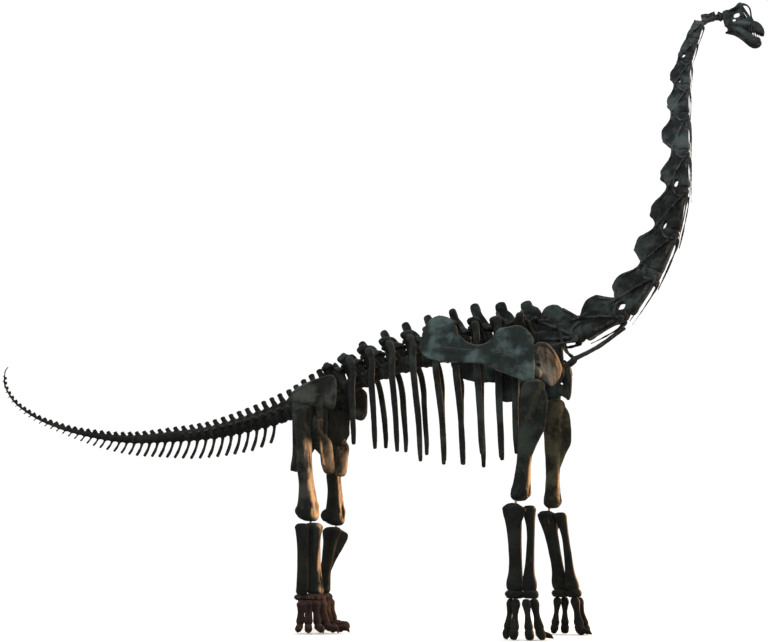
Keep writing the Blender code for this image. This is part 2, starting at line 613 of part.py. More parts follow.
def fore_foot(word, side, x, y):
    top, low, rear, front = WRIST_Z - 0.03, CARPAL_END + 0.03, y + 0.01, y - 0.02
    outer = ((WRIST_Z - GAP, x - 0.11, rear, 0.12, 0.10), (top, x - 0.11, rear, 0.155, 0.13),
             (low, x - 0.11, rear, 0.15, 0.13), (CARPAL_END, x - 0.11, rear, 0.13, 0.12))
    inner = ((WRIST_Z - GAP, x + 0.15, front, 0.10, 0.10), (top, x + 0.14, front, 0.13, 0.12),
             (low, x + 0.14, front, 0.13, 0.12), (CARPAL_END, x + 0.14, front, 0.11, 0.11))
    node("carpals_" + word, [sided(stack(rows, 10), side) for rows in (outer, inner)])
    centre = np.array((x + 0.02, y))
    for number in range(5):
        turn = math.radians(-40 + 52 * number)
        out = np.array((math.cos(turn), math.sin(turn)))
        start, foot = centre + out * (0.19, 0.125), centre + out * (0.27, 0.17)
        bone = stack(((CARPAL_END - GAP, *start, 0.052, 0.047), (CARPAL_END - 0.05, *start, 0.058, 0.054),
                      (0.34, *(0.5 * (start + foot)), 0.048, 0.045), (0.12, *foot, 0.072, 0.066),
                      (0, *(foot + 0.02 * out), 0.062, 0.057)), 6)
        pieces = [bone]
        if number == 0:
            tip = foot + (0.20, -0.06)
            path = ((*foot, 0.07, 0.05), (*(0.5 * (foot + tip)), 0.065, 0.042), (*tip, 0.03, 0.012))
            pieces.append(pressed(rod(path, 6, (0, 0, 1), 1, 0.7), (0, 0, 0), (0, 0, -1)))
        node(f"finger_{number + 1}_{word}", [sided(piece, side) for piece in pieces])


# Pelvis and hind limbs

def ilium(name, side):
    rows = ((-0.42, 4.32, 4.21, 0.43, 0.03), (-0.30, 4.42, 4.16, 0.42, 0.05), (-0.08, 4.54, 4.09, 0.43, 0.06),
            (0.15, 4.61, 4.09, 0.43, 0.06), (0.36, 4.66, 4.13, 0.45, 0.055), (0.56, 4.69, 4.08, 0.55, 0.05),
            (0.72, 4.65, 4.04, 0.63, 0.05), (0.80, 4.56, 4.11, 0.665, 0.035))
    blade = upright(rows, 8, 0.6)
    front = stack(((4.30, 0.34, 0.46, 0.12, 0.06), (4.05, 0.35, 0.45, 0.09, 0.055),
                   (PUBIS_TOP, 0.36, 0.44, 0.10, 0.055)), 8)
    rear = stack(((4.30, -0.20, 0.44, 0.10, 0.05), (ISCHIUM_TOP, -0.215, 0.44, 0.075, 0.05)), 8)
    pieces = [pressed(blade, (0, 0, SOCKET_Z), (0, 0, -1), lambda v: v[:, 0] < 0.3), front, rear]
    node(name, [sided(pressed(piece, (0, ILIUM_Y + GAP / 2, 0), (0, -1, 0)), side) for piece in pieces])


def pubis(name, side):
    rows = ((PUBIS_TOP - GAP, 0.36, 0.44, 0.10, 0.05), (3.72, 0.36, 0.43, 0.07, 0.055),
            (3.60, 0.375, 0.42, 0.07, 0.06), (3.45, 0.43, 0.39, 0.105, 0.06), (3.20, 0.44, 0.34, 0.11, 0.06),
            (2.96, 0.455, 0.28, 0.11, 0.075), (2.84, 0.46, 0.26, 0.09, 0.06))
    node(name, [sided(stack(rows, 8), side)])


def ischium(name, side):
    rows = ((ISCHIUM_TOP - GAP, -0.215, 0.44, 0.075, 0.05), (3.80, -0.20, 0.39, 0.10, 0.045),
            (3.45, -0.25, 0.26, 0.12, 0.04), (3.20, -0.35, 0.14, 0.09, 0.045), (3.04, -0.42, 0.06, 0.09, 0.06),
            (2.94, -0.45, 0.05, 0.075, 0.05))
    plate = upright(((-0.20, 3.78, 3.40, 0.33, 0.035), (0.0, 3.78, 3.24, 0.345, 0.04),
                     (0.16, 3.76, 3.29, 0.36, 0.04), (0.29, 3.66, 3.36, 0.37, 0.03)), 6)
    bone = pressed(stack(rows, 8), (0, GAP / 2, 0), (0, -1, 0))
    node(name, [sided(bone, side), sided(plate, side)])


def hind_limb(word, side):
    knee, ankle = HIND_X[word]
    x, y = HIP
    femur = limb(FEMUR, (SOCKET_Z - GAP, x, y), (FEMUR_END, knee, y))
    node("femur_" + word, [sided(femur, side)])
    head = knee + SHIN_SHIFT[word]
    ends = (SHIN_TOP, head, y - 0.03), (ANKLE_Z, ankle + 0.09, y - 0.02)
    edge = ((0.01, 0.16), (0.10, 0.30), (0.20, 0.28), (0.34, 0.16), (0.46, 0.08))
    plate = crest(*ends, edge, (1, 0.9), 0.05)
    prop = pin(knee + 0.03, y - 0.02, SHIN_TOP - 0.15, FEMUR_END - GAP)
    node("tibia_" + word, [sided(piece, side) for piece in (limb(TIBIA, *ends), plate, prop)])
    calf = limb(FIBULA, (SHIN_TOP, head - 0.13, y + 0.20), (ANKLE_Z, ankle - 0.12, y + 0.16))
    node("fibula_" + word, [sided(calf, side)])
    hind_foot(word, side, ankle, y)


def hind_foot(word, side, x, y):
    ankle = stack(((ANKLE_Z - GAP, x, y + 0.03, 0.24, 0.17), (ANKLE_Z - 0.03, x, y + 0.03, 0.29, 0.21),
                   (TARSAL_END + 0.02, x + 0.02, y + 0.03, 0.29, 0.21),
                   (TARSAL_END, x + 0.02, y + 0.03, 0.26, 0.19)), 12)
    node("tarsus_" + word, [sided(ankle, side)], RUST)
    centre = np.array((x, y + 0.03))
    for number in range(5):
        root, turn = np.radians(((-35, 5, 45, 88, 130)[number], (-8, 12, 45, 80, 115)[number]))
        size, reach = (0.074, 0.068, 0.070, 0.070, 0.066)[number], (0.50, 0.36, 0.28, 0.20, 0.17)[number]
        out = np.array((math.cos(turn), math.sin(turn)))
        start = centre + np.array((math.cos(root), math.sin(root))) * (0.23, 0.165)
        knuckle, tip = start + out * 0.09, start + out * reach
        bone = stack(((TARSAL_END - GAP, *start, 0.75 * size, 0.7 * size),
                      (0.48, *start, 0.8 * size, 0.75 * size),
                      (0.34, *(start + 0.05 * out), 0.7 * size, 0.66 * size),
                      (0.14, *knuckle, size, 0.95 * size), (0, *knuckle, 0.85 * size, 0.8 * size)), 7)
        toe = rod(((*knuckle, 0.10, 0.8 * size), (*(0.5 * (knuckle + tip)), 0.085, 0.72 * size),
                   (*tip, 0.03, 0.2 * size)), 6, (0, 0, 1), 1, 0.8)
        pieces = [bone, pressed(toe, (0, 0, 0), (0, 0, -1))]
        node(f"toe_{number + 1}_{word}", [sided(piece, side) for piece in pieces], RUST)


def main():
    for found in list(bpy.data.objects):
        bpy.data.objects.remove(found)
    head()
    jaw()
    neck()
    tail(sacrum(torso()))
    for word, side in (("right", -1), ("left", 1)):
        scapula("scapula_" + word, side)
        coracoid("coracoid_" + word, side)
        fore_limb(word, side)
        ilium("ilium_" + word, side)
        pubis("pubis_" + word, side)
        ischium("ischium_" + word, side)
        hind_limb(word, side)
    for found in bpy.data.objects:
        for vert in found.data.vertices:
            vert.co.x -= CENTRE_X
            vert.co.y -= CENTRE_Y


main()
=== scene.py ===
"""A life-size skeleton of a high-shouldered, long-necked dinosaur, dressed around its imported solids.

Bones are worked out in metres from the hip joint, +X forward, +Y the animal's left and +Z up. Each is a
few closed skins joined by a fine remesh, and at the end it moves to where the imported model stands.
"""
import json
import math

import bpy
import numpy as np
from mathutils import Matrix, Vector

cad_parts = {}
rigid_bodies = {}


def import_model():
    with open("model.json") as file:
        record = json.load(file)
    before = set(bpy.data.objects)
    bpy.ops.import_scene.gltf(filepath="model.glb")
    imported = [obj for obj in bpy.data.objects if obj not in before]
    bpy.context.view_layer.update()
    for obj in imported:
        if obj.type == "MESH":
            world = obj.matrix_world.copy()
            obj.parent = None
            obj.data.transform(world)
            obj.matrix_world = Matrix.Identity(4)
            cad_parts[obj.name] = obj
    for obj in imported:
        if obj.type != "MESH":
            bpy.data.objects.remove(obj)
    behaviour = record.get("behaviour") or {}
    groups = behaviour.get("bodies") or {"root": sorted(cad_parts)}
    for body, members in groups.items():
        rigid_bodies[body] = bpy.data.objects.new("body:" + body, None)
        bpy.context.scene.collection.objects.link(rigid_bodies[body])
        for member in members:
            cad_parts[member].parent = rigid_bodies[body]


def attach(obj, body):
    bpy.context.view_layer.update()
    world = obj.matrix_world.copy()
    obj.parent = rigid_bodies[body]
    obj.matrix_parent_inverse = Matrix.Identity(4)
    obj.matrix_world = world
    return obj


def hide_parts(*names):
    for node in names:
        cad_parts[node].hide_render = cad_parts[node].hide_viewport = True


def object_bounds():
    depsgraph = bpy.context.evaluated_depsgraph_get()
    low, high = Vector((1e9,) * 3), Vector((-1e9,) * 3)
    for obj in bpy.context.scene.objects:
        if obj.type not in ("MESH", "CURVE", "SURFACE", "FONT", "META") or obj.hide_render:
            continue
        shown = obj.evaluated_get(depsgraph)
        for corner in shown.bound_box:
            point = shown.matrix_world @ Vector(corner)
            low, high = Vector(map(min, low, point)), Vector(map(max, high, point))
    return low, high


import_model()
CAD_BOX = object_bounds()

# Where the bounding box's middle lies, measured from the hip joint
CENTRE_X = 1.119935
CENTRE_Y = -0.514298

# The line of the vertebrae: the neck's joints from the skull, then the back's and the tail's
NECK_LINE = ((8.32, 0, 10.71), (8.21, 0, 10.76), (7.99, 0, 10.72), (7.82, 0, 10.42), (7.66, 0, 10.02),
             (7.56, 0, 9.52), (7.48, 0, 8.97), (7.40, 0, 8.24), (7.31, 0, 7.53), (7.08, 0, 6.77),
             (6.71, 0, 6.07), (6.17, 0, 5.42), (5.43, 0, 5.10), (4.61, 0, 5.06))
BACK_LINE = ((3.60, 0, 5.00), (2.60, 0, 4.95), (1.60, 0, 4.80), (0.60, 0, 4.50), (0.00, 0, 4.335),
             (-0.60, 0, 4.16))
TAIL_LINE = ((-1.52, -0.06, 3.97), (-2.41, -0.19, 3.83), (-3.28, -0.39, 3.77), (-4.12, -0.64, 3.74),
             (-4.94, -0.93, 3.85), (-5.60, -1.20, 4.03), (-6.17, -1.45, 4.30), (-6.60, -1.66, 4.67),
             (-6.71, -1.78, 4.95), (-6.61, -1.90, 5.15), (-6.31, -2.10, 5.22))
NECK_SPINES = (0.10, 0.12, 0.17, 0.22, 0.31, 0.33, 0.40, 0.41, 0.50, 0.54, 0.54, 0.58, 0.64)
NECK_SADDLES = (0.09, 0.10, 0.14, 0.17, 0.20, 0.215, 0.24, 0.22, 0.29, 0.35, 0.31, 0.34, 0.34, 0.36)
NECK_END = len(NECK_LINE) - 1
HIPS_END = NECK_END + len(BACK_LINE)
DORSALS = 10
DORSAL_LENGTH = 0.436
DORSAL_SPINE = 0.90
SACRALS = 5
CAUDALS = 48
FIRST_TO_LAST_CAUDAL = 1.9
RIB_WIDTHS = (0.56, 0.66, 0.78, 0.86, 0.90, 0.85, 0.80, 0.76, 0.72)
RIB_TIPS = (2.92, 2.82, 2.94, 2.78, 2.86, 2.88, 3.08, 3.16, 3.27)
FAR_RIB_LIFT = 0.12
SCAPULA_Y = 0.856
SCAPULA_Z = 4.6
SCAPULA_TILT = 0.20
GLENOID_Z = 4.11
SUTURE_X = 4.70
SHOULDER_X = {"right": 4.68, "left": 4.60}
SHOULDER_Y = 0.85
HUMERUS_END = 2.16
FOREARM_TOP = 2.08
WRIST_Z = 0.74
CARPAL_END = 0.62
FIRST_FINGER = -40
FINGER_STEP = 52
HIP = (0.05, 0.65)
SOCKET_Z = 4.12
ILIUM_Y = 0.38
PUBIS_TOP = 3.86
ISCHIUM_TOP = 3.98
FEMUR_END = 1.96
SHIN_TOP = 1.88
ANKLE_Z = 0.66
TARSAL_END = 0.55
FORE_X = {"right": (4.34, 4.30), "left": (4.44, 4.61)}
HIND_X = {"right": (0.27, 0.35), "left": (0.13, -0.22)}
SHIN_SHIFT = {"right": 0.07, "left": -0.05}
PIN_RADIUS = 0.022

# Fineness of the bones' skins, and the spacing and height of the three sizes of random relief on them
VOXEL = 0.012 * 1.0
RELIEF = ((0.22, 1.0), (0.09, 0.6), (0.040, 0.35))

# The photograph's frame and lens in pixels, where the camera stands from the hip joint, and its angles
PHOTO_WIDTH = 768.0
FOCAL_LENGTH = 855.0
SENSOR_WIDTH = 36.0
CAMERA_AT = (8.34, -14.68, 0.86)
CAMERA_RISE = 17
CAMERA_TURN = 25
FLOOR_REACH = 400


# Curves

def smooth(points, steps):
    """Even curve through the rows of points: cubic pieces whose slope at each row is the mean of its
    neighbours' slopes, weighted by the spans."""
    points = np.array(points, float)
    span = np.maximum(np.linalg.norm(np.diff(points[:, :3], axis=0), axis=1), 1e-9)
    slope = np.diff(points, axis=0) / span[:, None]
    inner = (slope[:-1] * span[1:, None] + slope[1:] * span[:-1, None]) / (span[1:] + span[:-1])[:, None]
    slope = np.vstack([slope[:1], inner, slope[-1:]])
    t = np.linspace(0.0, 1.0, steps, endpoint=False)[:, None, None]
    h, p, q = span[:, None], points[:-1], points[1:]
    rows = (p * (1 + 2 * t) * (1 - t) ** 2 + q * t * t * (3 - 2 * t)
            + h * slope[:-1] * t * (1 - t) ** 2 - h * slope[1:] * t * t * (1 - t))
    return np.vstack([rows.transpose(1, 0, 2).reshape(-1, points.shape[1]), points[-1:]])


class Column:
    """The line through the vertebrae, with a frame at every length along it."""

    def __init__(self, points, steps=24):
        self.line = smooth(points, steps)
        step = np.linalg.norm(np.diff(self.line, axis=0), axis=1)
        self.length = np.concatenate([[0.0], np.cumsum(step)])
        self.joints = self.length[::steps]
        forward = -np.gradient(self.line, self.length, axis=0)
        forward /= np.linalg.norm(forward, axis=1)[:, None]
        left = np.zeros_like(forward)
        side = np.array([0.0, 1.0, 0.0])
        for i, tangent in enumerate(forward):
            side = side - side.dot(tangent) * tangent
            side /= np.linalg.norm(side)
            left[i] = side
        self.axes = np.stack([forward, left, np.cross(forward, left)], axis=1)

    def frame(self, s):
        """The place at length s and three unit rows: towards the head, to the left and up."""
        place = np.array([np.interp(s, self.length, self.line[:, k]) for k in range(3)])
        rows = np.array([[np.interp(s, self.length, self.axes[:, i, k]) for k in range(3)] for i in range(3)])
        return place, rows / np.linalg.norm(rows, axis=1)[:, None]


COLUMN = Column(NECK_LINE + BACK_LINE + TAIL_LINE)


def joints_between(first, last, count, ratio=1.0):
    """Lengths along the column that part it into `count` vertebrae, the first `ratio` times the last."""
    sizes = np.linspace(ratio, 1.0, count)
    return first + (last - first) * np.concatenate([[0.0], np.cumsum(sizes)]) / sizes.sum()


# Skins: points and rings of closed surfaces

def loft(centres, across, deep, sides=20, fullness=1.0, dome=0.5):
    """Closed skin through rings. Point k of ring i is centre_i + across_i * C(k) + deep_i * S(k), where C
    and S are the cosine and sine of its angle, raised to `fullness` with their sign kept. Each end is
    closed by a dome, `dome` times as high as the ring's smaller half-axis."""
    centres, across, deep = (np.asarray(v, float) for v in (centres, across, deep))
    fullness = np.broadcast_to(np.asarray(fullness, float), len(centres))
    bend = np.radians((82, 60, 35))

    def end(i, way):
        way = way / np.linalg.norm(way)
        reach = dome * min(np.linalg.norm(across[i]), np.linalg.norm(deep[i]))
        size = np.cos(bend)[:, None]
        return centres[i] + way * (np.sin(bend) * reach)[:, None], across[i] * size, deep[i] * size

    first, last = end(0, centres[0] - centres[1]), end(-1, centres[-1] - centres[-2])
    centres, across, deep = (np.vstack([a, b, c[::-1]])
                             for a, b, c in zip(first, (centres, across, deep), last))
    fullness = np.concatenate([np.repeat(fullness[0], 3), fullness, np.repeat(fullness[-1], 3)])[:, None, None]
    angle = 2 * math.pi * np.arange(sides) / sides
    wide, high = (np.sign(v) * abs(v) ** fullness
                  for v in (np.cos(angle)[None, :, None], np.sin(angle)[None, :, None]))
    rings = centres[:, None] + across[:, None] * wide + deep[:, None] * high
    i, k = np.meshgrid(np.arange(len(centres) - 1), np.arange(sides), indexing="ij")
    n = (k + 1) % sides
    quads = np.stack([i * sides + k, i * sides + n, (i + 1) * sides + n, (i + 1) * sides + k],
                     -1).reshape(-1, 4)
    caps = np.stack([np.arange(sides)[::-1], (len(centres) - 1) * sides + np.arange(sides)])
    points = rings.reshape(-1, 3)
    a, b, c, d = (points[quads[:, j]] for j in range(4))
    volume = np.einsum("ij,ij->i", a, np.cross(b, c)).sum() + np.einsum("ij,ij->i", a, np.cross(c, d)).sum()
    if volume < 0:
        quads, caps = quads[:, ::-1], caps[:, ::-1]
    return points, quads, caps


def tube(rows, across=(0, 1, 0), steps=6, sides=14, flat=1.0, fullness=1.0, dome=0.6):
    """Skin along a curve: rows of x, y, z, half-width and, if given, half-depth; the width lies along
    `across`, turned square to the curve."""
    rows = np.array([tuple(row) + ((flat * row[3],) if len(row) == 4 else ()) for row in rows], float)
    rows = smooth(rows, steps) if steps > 1 else rows
    along = np.gradient(rows[:, :3], axis=0)
    along /= np.linalg.norm(along, axis=1)[:, None]
    side = np.array(across, float) - along * (along @ np.array(across, float))[:, None]
    side /= np.linalg.norm(side, axis=1)[:, None]
    return loft(rows[:, :3], side * rows[:, 3:4], np.cross(along, side) * rows[:, 4:5], sides, fullness, dome)


def stack(rows, sides=20, steps=5, fullness=1.0, dome=0.4):
    """Upright skin of level rings: rows of z, x, y, half-length along X and half-width along Y."""
    rows = np.array(rows, float)[:, [1, 2, 0, 3, 4]]
    rows = smooth(rows, steps)
    zero = np.zeros(len(rows))
    return loft(rows[:, :3], np.stack([rows[:, 3], zero, zero], 1), np.stack([zero, rows[:, 4], zero], 1),
                sides, fullness, dome)


def slices(rows, sides=22, steps=5, fullness=1.0, dome=0.4):
    """Skin of slices across X: rows of x, top and bottom z, y and half-width."""
    rows = np.array(rows, float)
    rows = smooth(np.stack([rows[:, 0], rows[:, 3], 0.5 * (rows[:, 1] + rows[:, 2]), rows[:, 4],
                            0.5 * (rows[:, 1] - rows[:, 2])], 1), steps)
    zero = np.zeros(len(rows))
    return loft(rows[:, :3], np.stack([zero, rows[:, 3], zero], 1), np.stack([zero, zero, rows[:, 4]], 1),
                sides, fullness, dome)


def blob(x, y, z, long, wide, high, sides=18):
    """Rounded knob: rings across X whose size follows a half circle."""
    part = np.sin(np.radians(np.linspace(-78, 78, 11)))
    size = np.sqrt(1 - part ** 2)
    zero = np.zeros(len(part))
    return loft(np.stack([x + long * part, zero + y, zero + z], 1), np.stack([zero, wide * size, zero], 1),
                np.stack([zero, zero, high * size], 1), sides, 1.0, 0.3)


def placed(skin, origin, axes):
    """A skin made along forward, left and up, set in a vertebra's frame."""
    return (origin + skin[0] @ axes,) + skin[1:]


def mirrored(skin):
    """The skin's mirror image across the middle plane, its faces turned to keep pointing outward."""
    return skin[0] * (1, -1, 1), skin[1][:, ::-1], skin[2][:, ::-1]


def sided(skins, side):
    """Skins made on the left, kept there or mirrored to the right."""
    return list(skins) if side > 0 else [mirrored(skin) for skin in skins]


def both(skins):
    """Skins made on the left and their mirror images."""
    return list(skins) + [mirrored(skin) for skin in skins]


# Surfaces of bone

def cloud(points, size, seed=0):
    """Smooth random height from -1 to 1: scattered values on a lattice with this spacing, blended between
    its corners by a cubic step along each axis."""
    at = points / np.asarray(size, float) + 31.7 * (seed + 1)
    cell = np.floor(at).astype(np.int64)
    part = at - cell
    part = part * part * (3 - 2 * part)
    total = np.zeros(len(points))
    for corner in np.ndindex(2, 2, 2):
        mixed = (cell + corner) @ np.array([73856093, 19349663, 83492791])
        mixed = (mixed ^ (mixed >> 13)) * 1274126177
        height = ((mixed ^ (mixed >> 16)) & 0xFFFF) / 32767.5 - 1
        total += height * np.prod(np.where(corner, part, 1 - part), axis=1)
    return total


def dented(points, dents):
    """Presses hollows in: a point inside the ellipsoid (centre, radii) moves by `push` times (1 - d^2)^2,
    with d its distance from the centre over the radii."""
    for centre, radii, push in dents:
        near = 1 - (((points - np.array(centre)) / np.array(radii)) ** 2).sum(1)
        points = points + np.where(near > 0, near, 0)[:, None] ** 2 * np.array(push)
    return points


def mesh_of(name, skins):
    """One mesh of several closed skins."""
    points, loops, sizes, base = [], [], [], 0
    for verts, quads, caps in skins:
        points.append(verts)
        loops += [quads.ravel() + base, caps.ravel() + base]
        sizes += [np.full(len(quads), 4), np.full(len(caps), caps.shape[1])]
        base += len(verts)
    points, loops, sizes = np.vstack(points), np.concatenate(loops), np.concatenate(sizes)
    mesh = bpy.data.meshes.new(name)
    mesh.vertices.add(len(points))
    mesh.loops.add(len(loops))
    mesh.polygons.add(len(sizes))
    mesh.vertices.foreach_set("co", points.astype(np.float32).ravel())
    mesh.polygons.foreach_set("loop_start", (np.cumsum(sizes) - sizes).astype(np.int32))
    mesh.loops.foreach_set("vertex_index", loops.astype(np.int32))
    mesh.update(calc_edges=True)
    return mesh


def in_scene(name, data):
    """New object at the origin, linked to the scene."""
    made = bpy.data.objects.new(name, data)
    bpy.context.scene.collection.objects.link(made)
    return made


def points_of(mesh):
    """The mesh's points, one row each."""
    points = np.empty(len(mesh.vertices) * 3, np.float32)
    mesh.vertices.foreach_get("co", points)
    return points.reshape(-1, 3).astype(float)


def set_points(mesh, points):
    """Puts moved points back into the mesh."""
    mesh.vertices.foreach_set("co", points.astype(np.float32).ravel())
    mesh.update()


def coated(mesh, finish):
    """Smooth shading and one material over the whole mesh."""
    mesh.polygons.foreach_set("use_smooth", np.ones(len(mesh.polygons), bool))
    mesh.materials.clear()
    mesh.materials.append(finish)


def applied(body):
    """Puts the modified mesh in place of the object's own."""
    seen = body.evaluated_get(bpy.context.evaluated_depsgraph_get())
    mesh = bpy.data.meshes.new_from_object(seen)
    body.modifiers.clear()
    body.data = mesh


def carved(body, cutters):
    """Takes closed skins away from a body."""
    group = bpy.data.collections.new("cutters")
    bpy.context.scene.collection.children.link(group)
    for skin in cutters:
        group.objects.link(bpy.data.objects.new("cutter", mesh_of("cutter", [skin])))
    cut = body.modifiers.new("cut", "BOOLEAN")
    cut.operation, cut.solver = "DIFFERENCE", "MANIFOLD"
    cut.operand_type, cut.collection = "COLLECTION", group
    applied(body)
    for cutter in list(group.objects):
        bpy.data.objects.remove(cutter)
    bpy.data.collections.remove(group)


def bone(name, skins, nodes, finish, voxel=1.0, soften=3, dents=(), relief=0.004, grain=(1, 1, 3),
         cutters=()):
    """A bone of joined skins: remeshed, pierced, softened, dented, then roughened along its normals by three
    sizes of random relief, drawn out along `grain`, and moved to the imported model's place, no point past
    its box. `relief` is the height in metres."""
    body = in_scene(name, mesh_of(name, skins))

    def even_mesh(rounds):
        join = body.modifiers.new("join", "REMESH")
        join.mode, join.voxel_size = "VOXEL", VOXEL * voxel
        if rounds:
            even = body.modifiers.new("even", "SMOOTH")
            even.factor, even.iterations = 0.5, rounds
        applied(body)

    if cutters:
        even_mesh(0)
        carved(body, cutters)
    even_mesh(soften)
    mesh = body.data
    points = dented(points_of(mesh), dents)
    set_points(mesh, points)
    normals = np.empty(len(mesh.vertices) * 3, np.float32)
    mesh.vertex_normals.foreach_get("vector", normals)
    rough = sum(height * cloud(points, size * np.array(grain, float), seed)
                for seed, (size, height) in enumerate(RELIEF, 1))
    points = points + normals.reshape(-1, 3) * (relief * rough)[:, None]
    lowest, highest = (np.array(corner) + (CENTRE_X, CENTRE_Y, 0) for corner in CAD_BOX)
    set_points(mesh, np.clip(points, lowest, highest) - (CENTRE_X, CENTRE_Y, 0))
    coated(mesh, finish)
    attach(body, "root")
    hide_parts(*nodes)


# Finishes

def group_of(name, inputs, outputs):
    """Empty node group with named sockets, its input and output nodes in place."""
    tree = bpy.data.node_groups.new(name, "ShaderNodeTree")
    for label, kind, value in inputs:
        socket = tree.interface.new_socket(label, in_out="INPUT", socket_type=kind)
        if value is not None:
            socket.default_value = value
    for label, kind in outputs:
        tree.interface.new_socket(label, in_out="OUTPUT", socket_type=kind)
    return tree, tree.nodes.new("NodeGroupInput"), tree.nodes.new("NodeGroupOutput")


def fed(tree, socket, value):
    """Sets a socket to a number or a colour, or links it to another socket."""
    if isinstance(value, (int, float, tuple)):
        socket.default_value = value
    else:
        tree.links.new(value, socket)


def noise(tree, coords, scale, detail=5.0, rough=0.6):
    """Noise between 0 and 1, with `scale` waves to the metre."""
    made = tree.nodes.new("ShaderNodeTexNoise")
    made.inputs["Scale"].default_value = scale
    made.inputs["Detail"].default_value = detail
    made.inputs["Roughness"].default_value = rough
    tree.links.new(coords, made.inputs["Vector"])
    return made.outputs["Fac"]


def ramp(tree, value, low, high):
    """Soft step from 0 at `low` to 1 at `high`."""
    made = tree.nodes.new("ShaderNodeMapRange")
    made.interpolation_type = "SMOOTHSTEP"
    for key, number in (("From Min", low), ("From Max", high), ("Value", value)):
        fed(tree, made.inputs[key], number)
    return made.outputs["Result"]


def sums(tree, kind, *values):
    """Math node of this kind over sockets or numbers."""
    made = tree.nodes.new("ShaderNodeMath")
    made.operation = kind
    for socket, value in zip(made.inputs, values):
        fed(tree, socket, value)
    return made.outputs["Value"]


def mixed(tree, share, first, second, kind="MIX"):
    """The first colour turned to the second by `share`, in the way that `kind` says."""
    made = tree.nodes.new("ShaderNodeMix")
    made.data_type, made.blend_type = "RGBA", kind
    sockets = {s.identifier: s for s in made.inputs}
    for key, value in (("Factor_Float", share), ("A_Color", first), ("B_Color", second)):
        fed(tree, sockets[key], value)
    return next(s for s in made.outputs if s.identifier == "Result_Color")


def object_coords(tree):
    return tree.nodes.new("ShaderNodeTexCoord").outputs["Object"]


def patina_group():
    """Cloudy patina: a dark ground, a second tone in broad clouds and a third in small blotches, which are
    also rougher."""
    tree, given, put = group_of(
        "patina", (("Ground", "NodeSocketColor", (0.02, 0.025, 0.022, 1)),
                   ("Bloom", "NodeSocketColor", (0.05, 0.08, 0.075, 1)),
                   ("Blotch", "NodeSocketColor", (0.06, 0.04, 0.03, 1))),
        (("Colour", "NodeSocketColor"), ("Roughness", "NodeSocketFloat")))
    coords = object_coords(tree)
    broad = ramp(tree, noise(tree, coords, 2.2, 5.0), 0.44, 0.64)
    small = ramp(tree, noise(tree, coords, 9.0, 6.0), 0.50, 0.72)
    colour = mixed(tree, broad, given.outputs["Ground"], given.outputs["Bloom"])
    colour = mixed(tree, sums(tree, "MULTIPLY", small, 0.7), colour, given.outputs["Blotch"])
    tree.links.new(colour, put.inputs["Colour"])
    tree.links.new(sums(tree, "MULTIPLY_ADD", small, 0.12, 0.5), put.inputs["Roughness"])
    return tree


def wear_and_shade_group():
    """Rubbed edges, settled dust and painted shade under things: convex places turn to the worn colour, level
    ones to the dusty one, and faces that look down keep a third of their colour, as painted shade."""
    tree, given, put = group_of(
        "edge_wear_and_painted_shade", (("Colour", "NodeSocketColor", None), ("Worn", "NodeSocketColor", (0.10, 0.09, 0.07, 1)),
                      ("Dust", "NodeSocketColor", (0.10, 0.10, 0.095, 1)), ("Wear", "NodeSocketFloat", 0.5),
                      ("Dusting", "NodeSocketFloat", 0.3)),
        (("Colour", "NodeSocketColor"),))
    coords = object_coords(tree)
    shape = tree.nodes.new("ShaderNodeNewGeometry")
    edge = ramp(tree, shape.outputs["Pointiness"], 0.505, 0.56)
    broken = ramp(tree, noise(tree, coords, 14.0, 5.0), 0.40, 0.62)
    edge = sums(tree, "MULTIPLY", sums(tree, "MULTIPLY", edge, broken), given.outputs["Wear"])
    split = tree.nodes.new("ShaderNodeSeparateXYZ")
    tree.links.new(shape.outputs["Normal"], split.inputs["Vector"])
    level = sums(tree, "MULTIPLY", ramp(tree, split.outputs["Z"], 0.35, 0.95), given.outputs["Dusting"])
    # Painted shade: faces that look down are darkened towards a third of their colour.
    under = sums(tree, "SUBTRACT", 1.0, ramp(tree, split.outputs["Z"], -0.80, 0.12))
    colour = mixed(tree, under, given.outputs["Colour"], (0.33, 0.33, 0.33, 1), "MULTIPLY")
    colour = mixed(tree, level, colour, given.outputs["Dust"])
    colour = mixed(tree, edge, colour, given.outputs["Worn"])
    tree.links.new(colour, put.inputs["Colour"])
    return tree


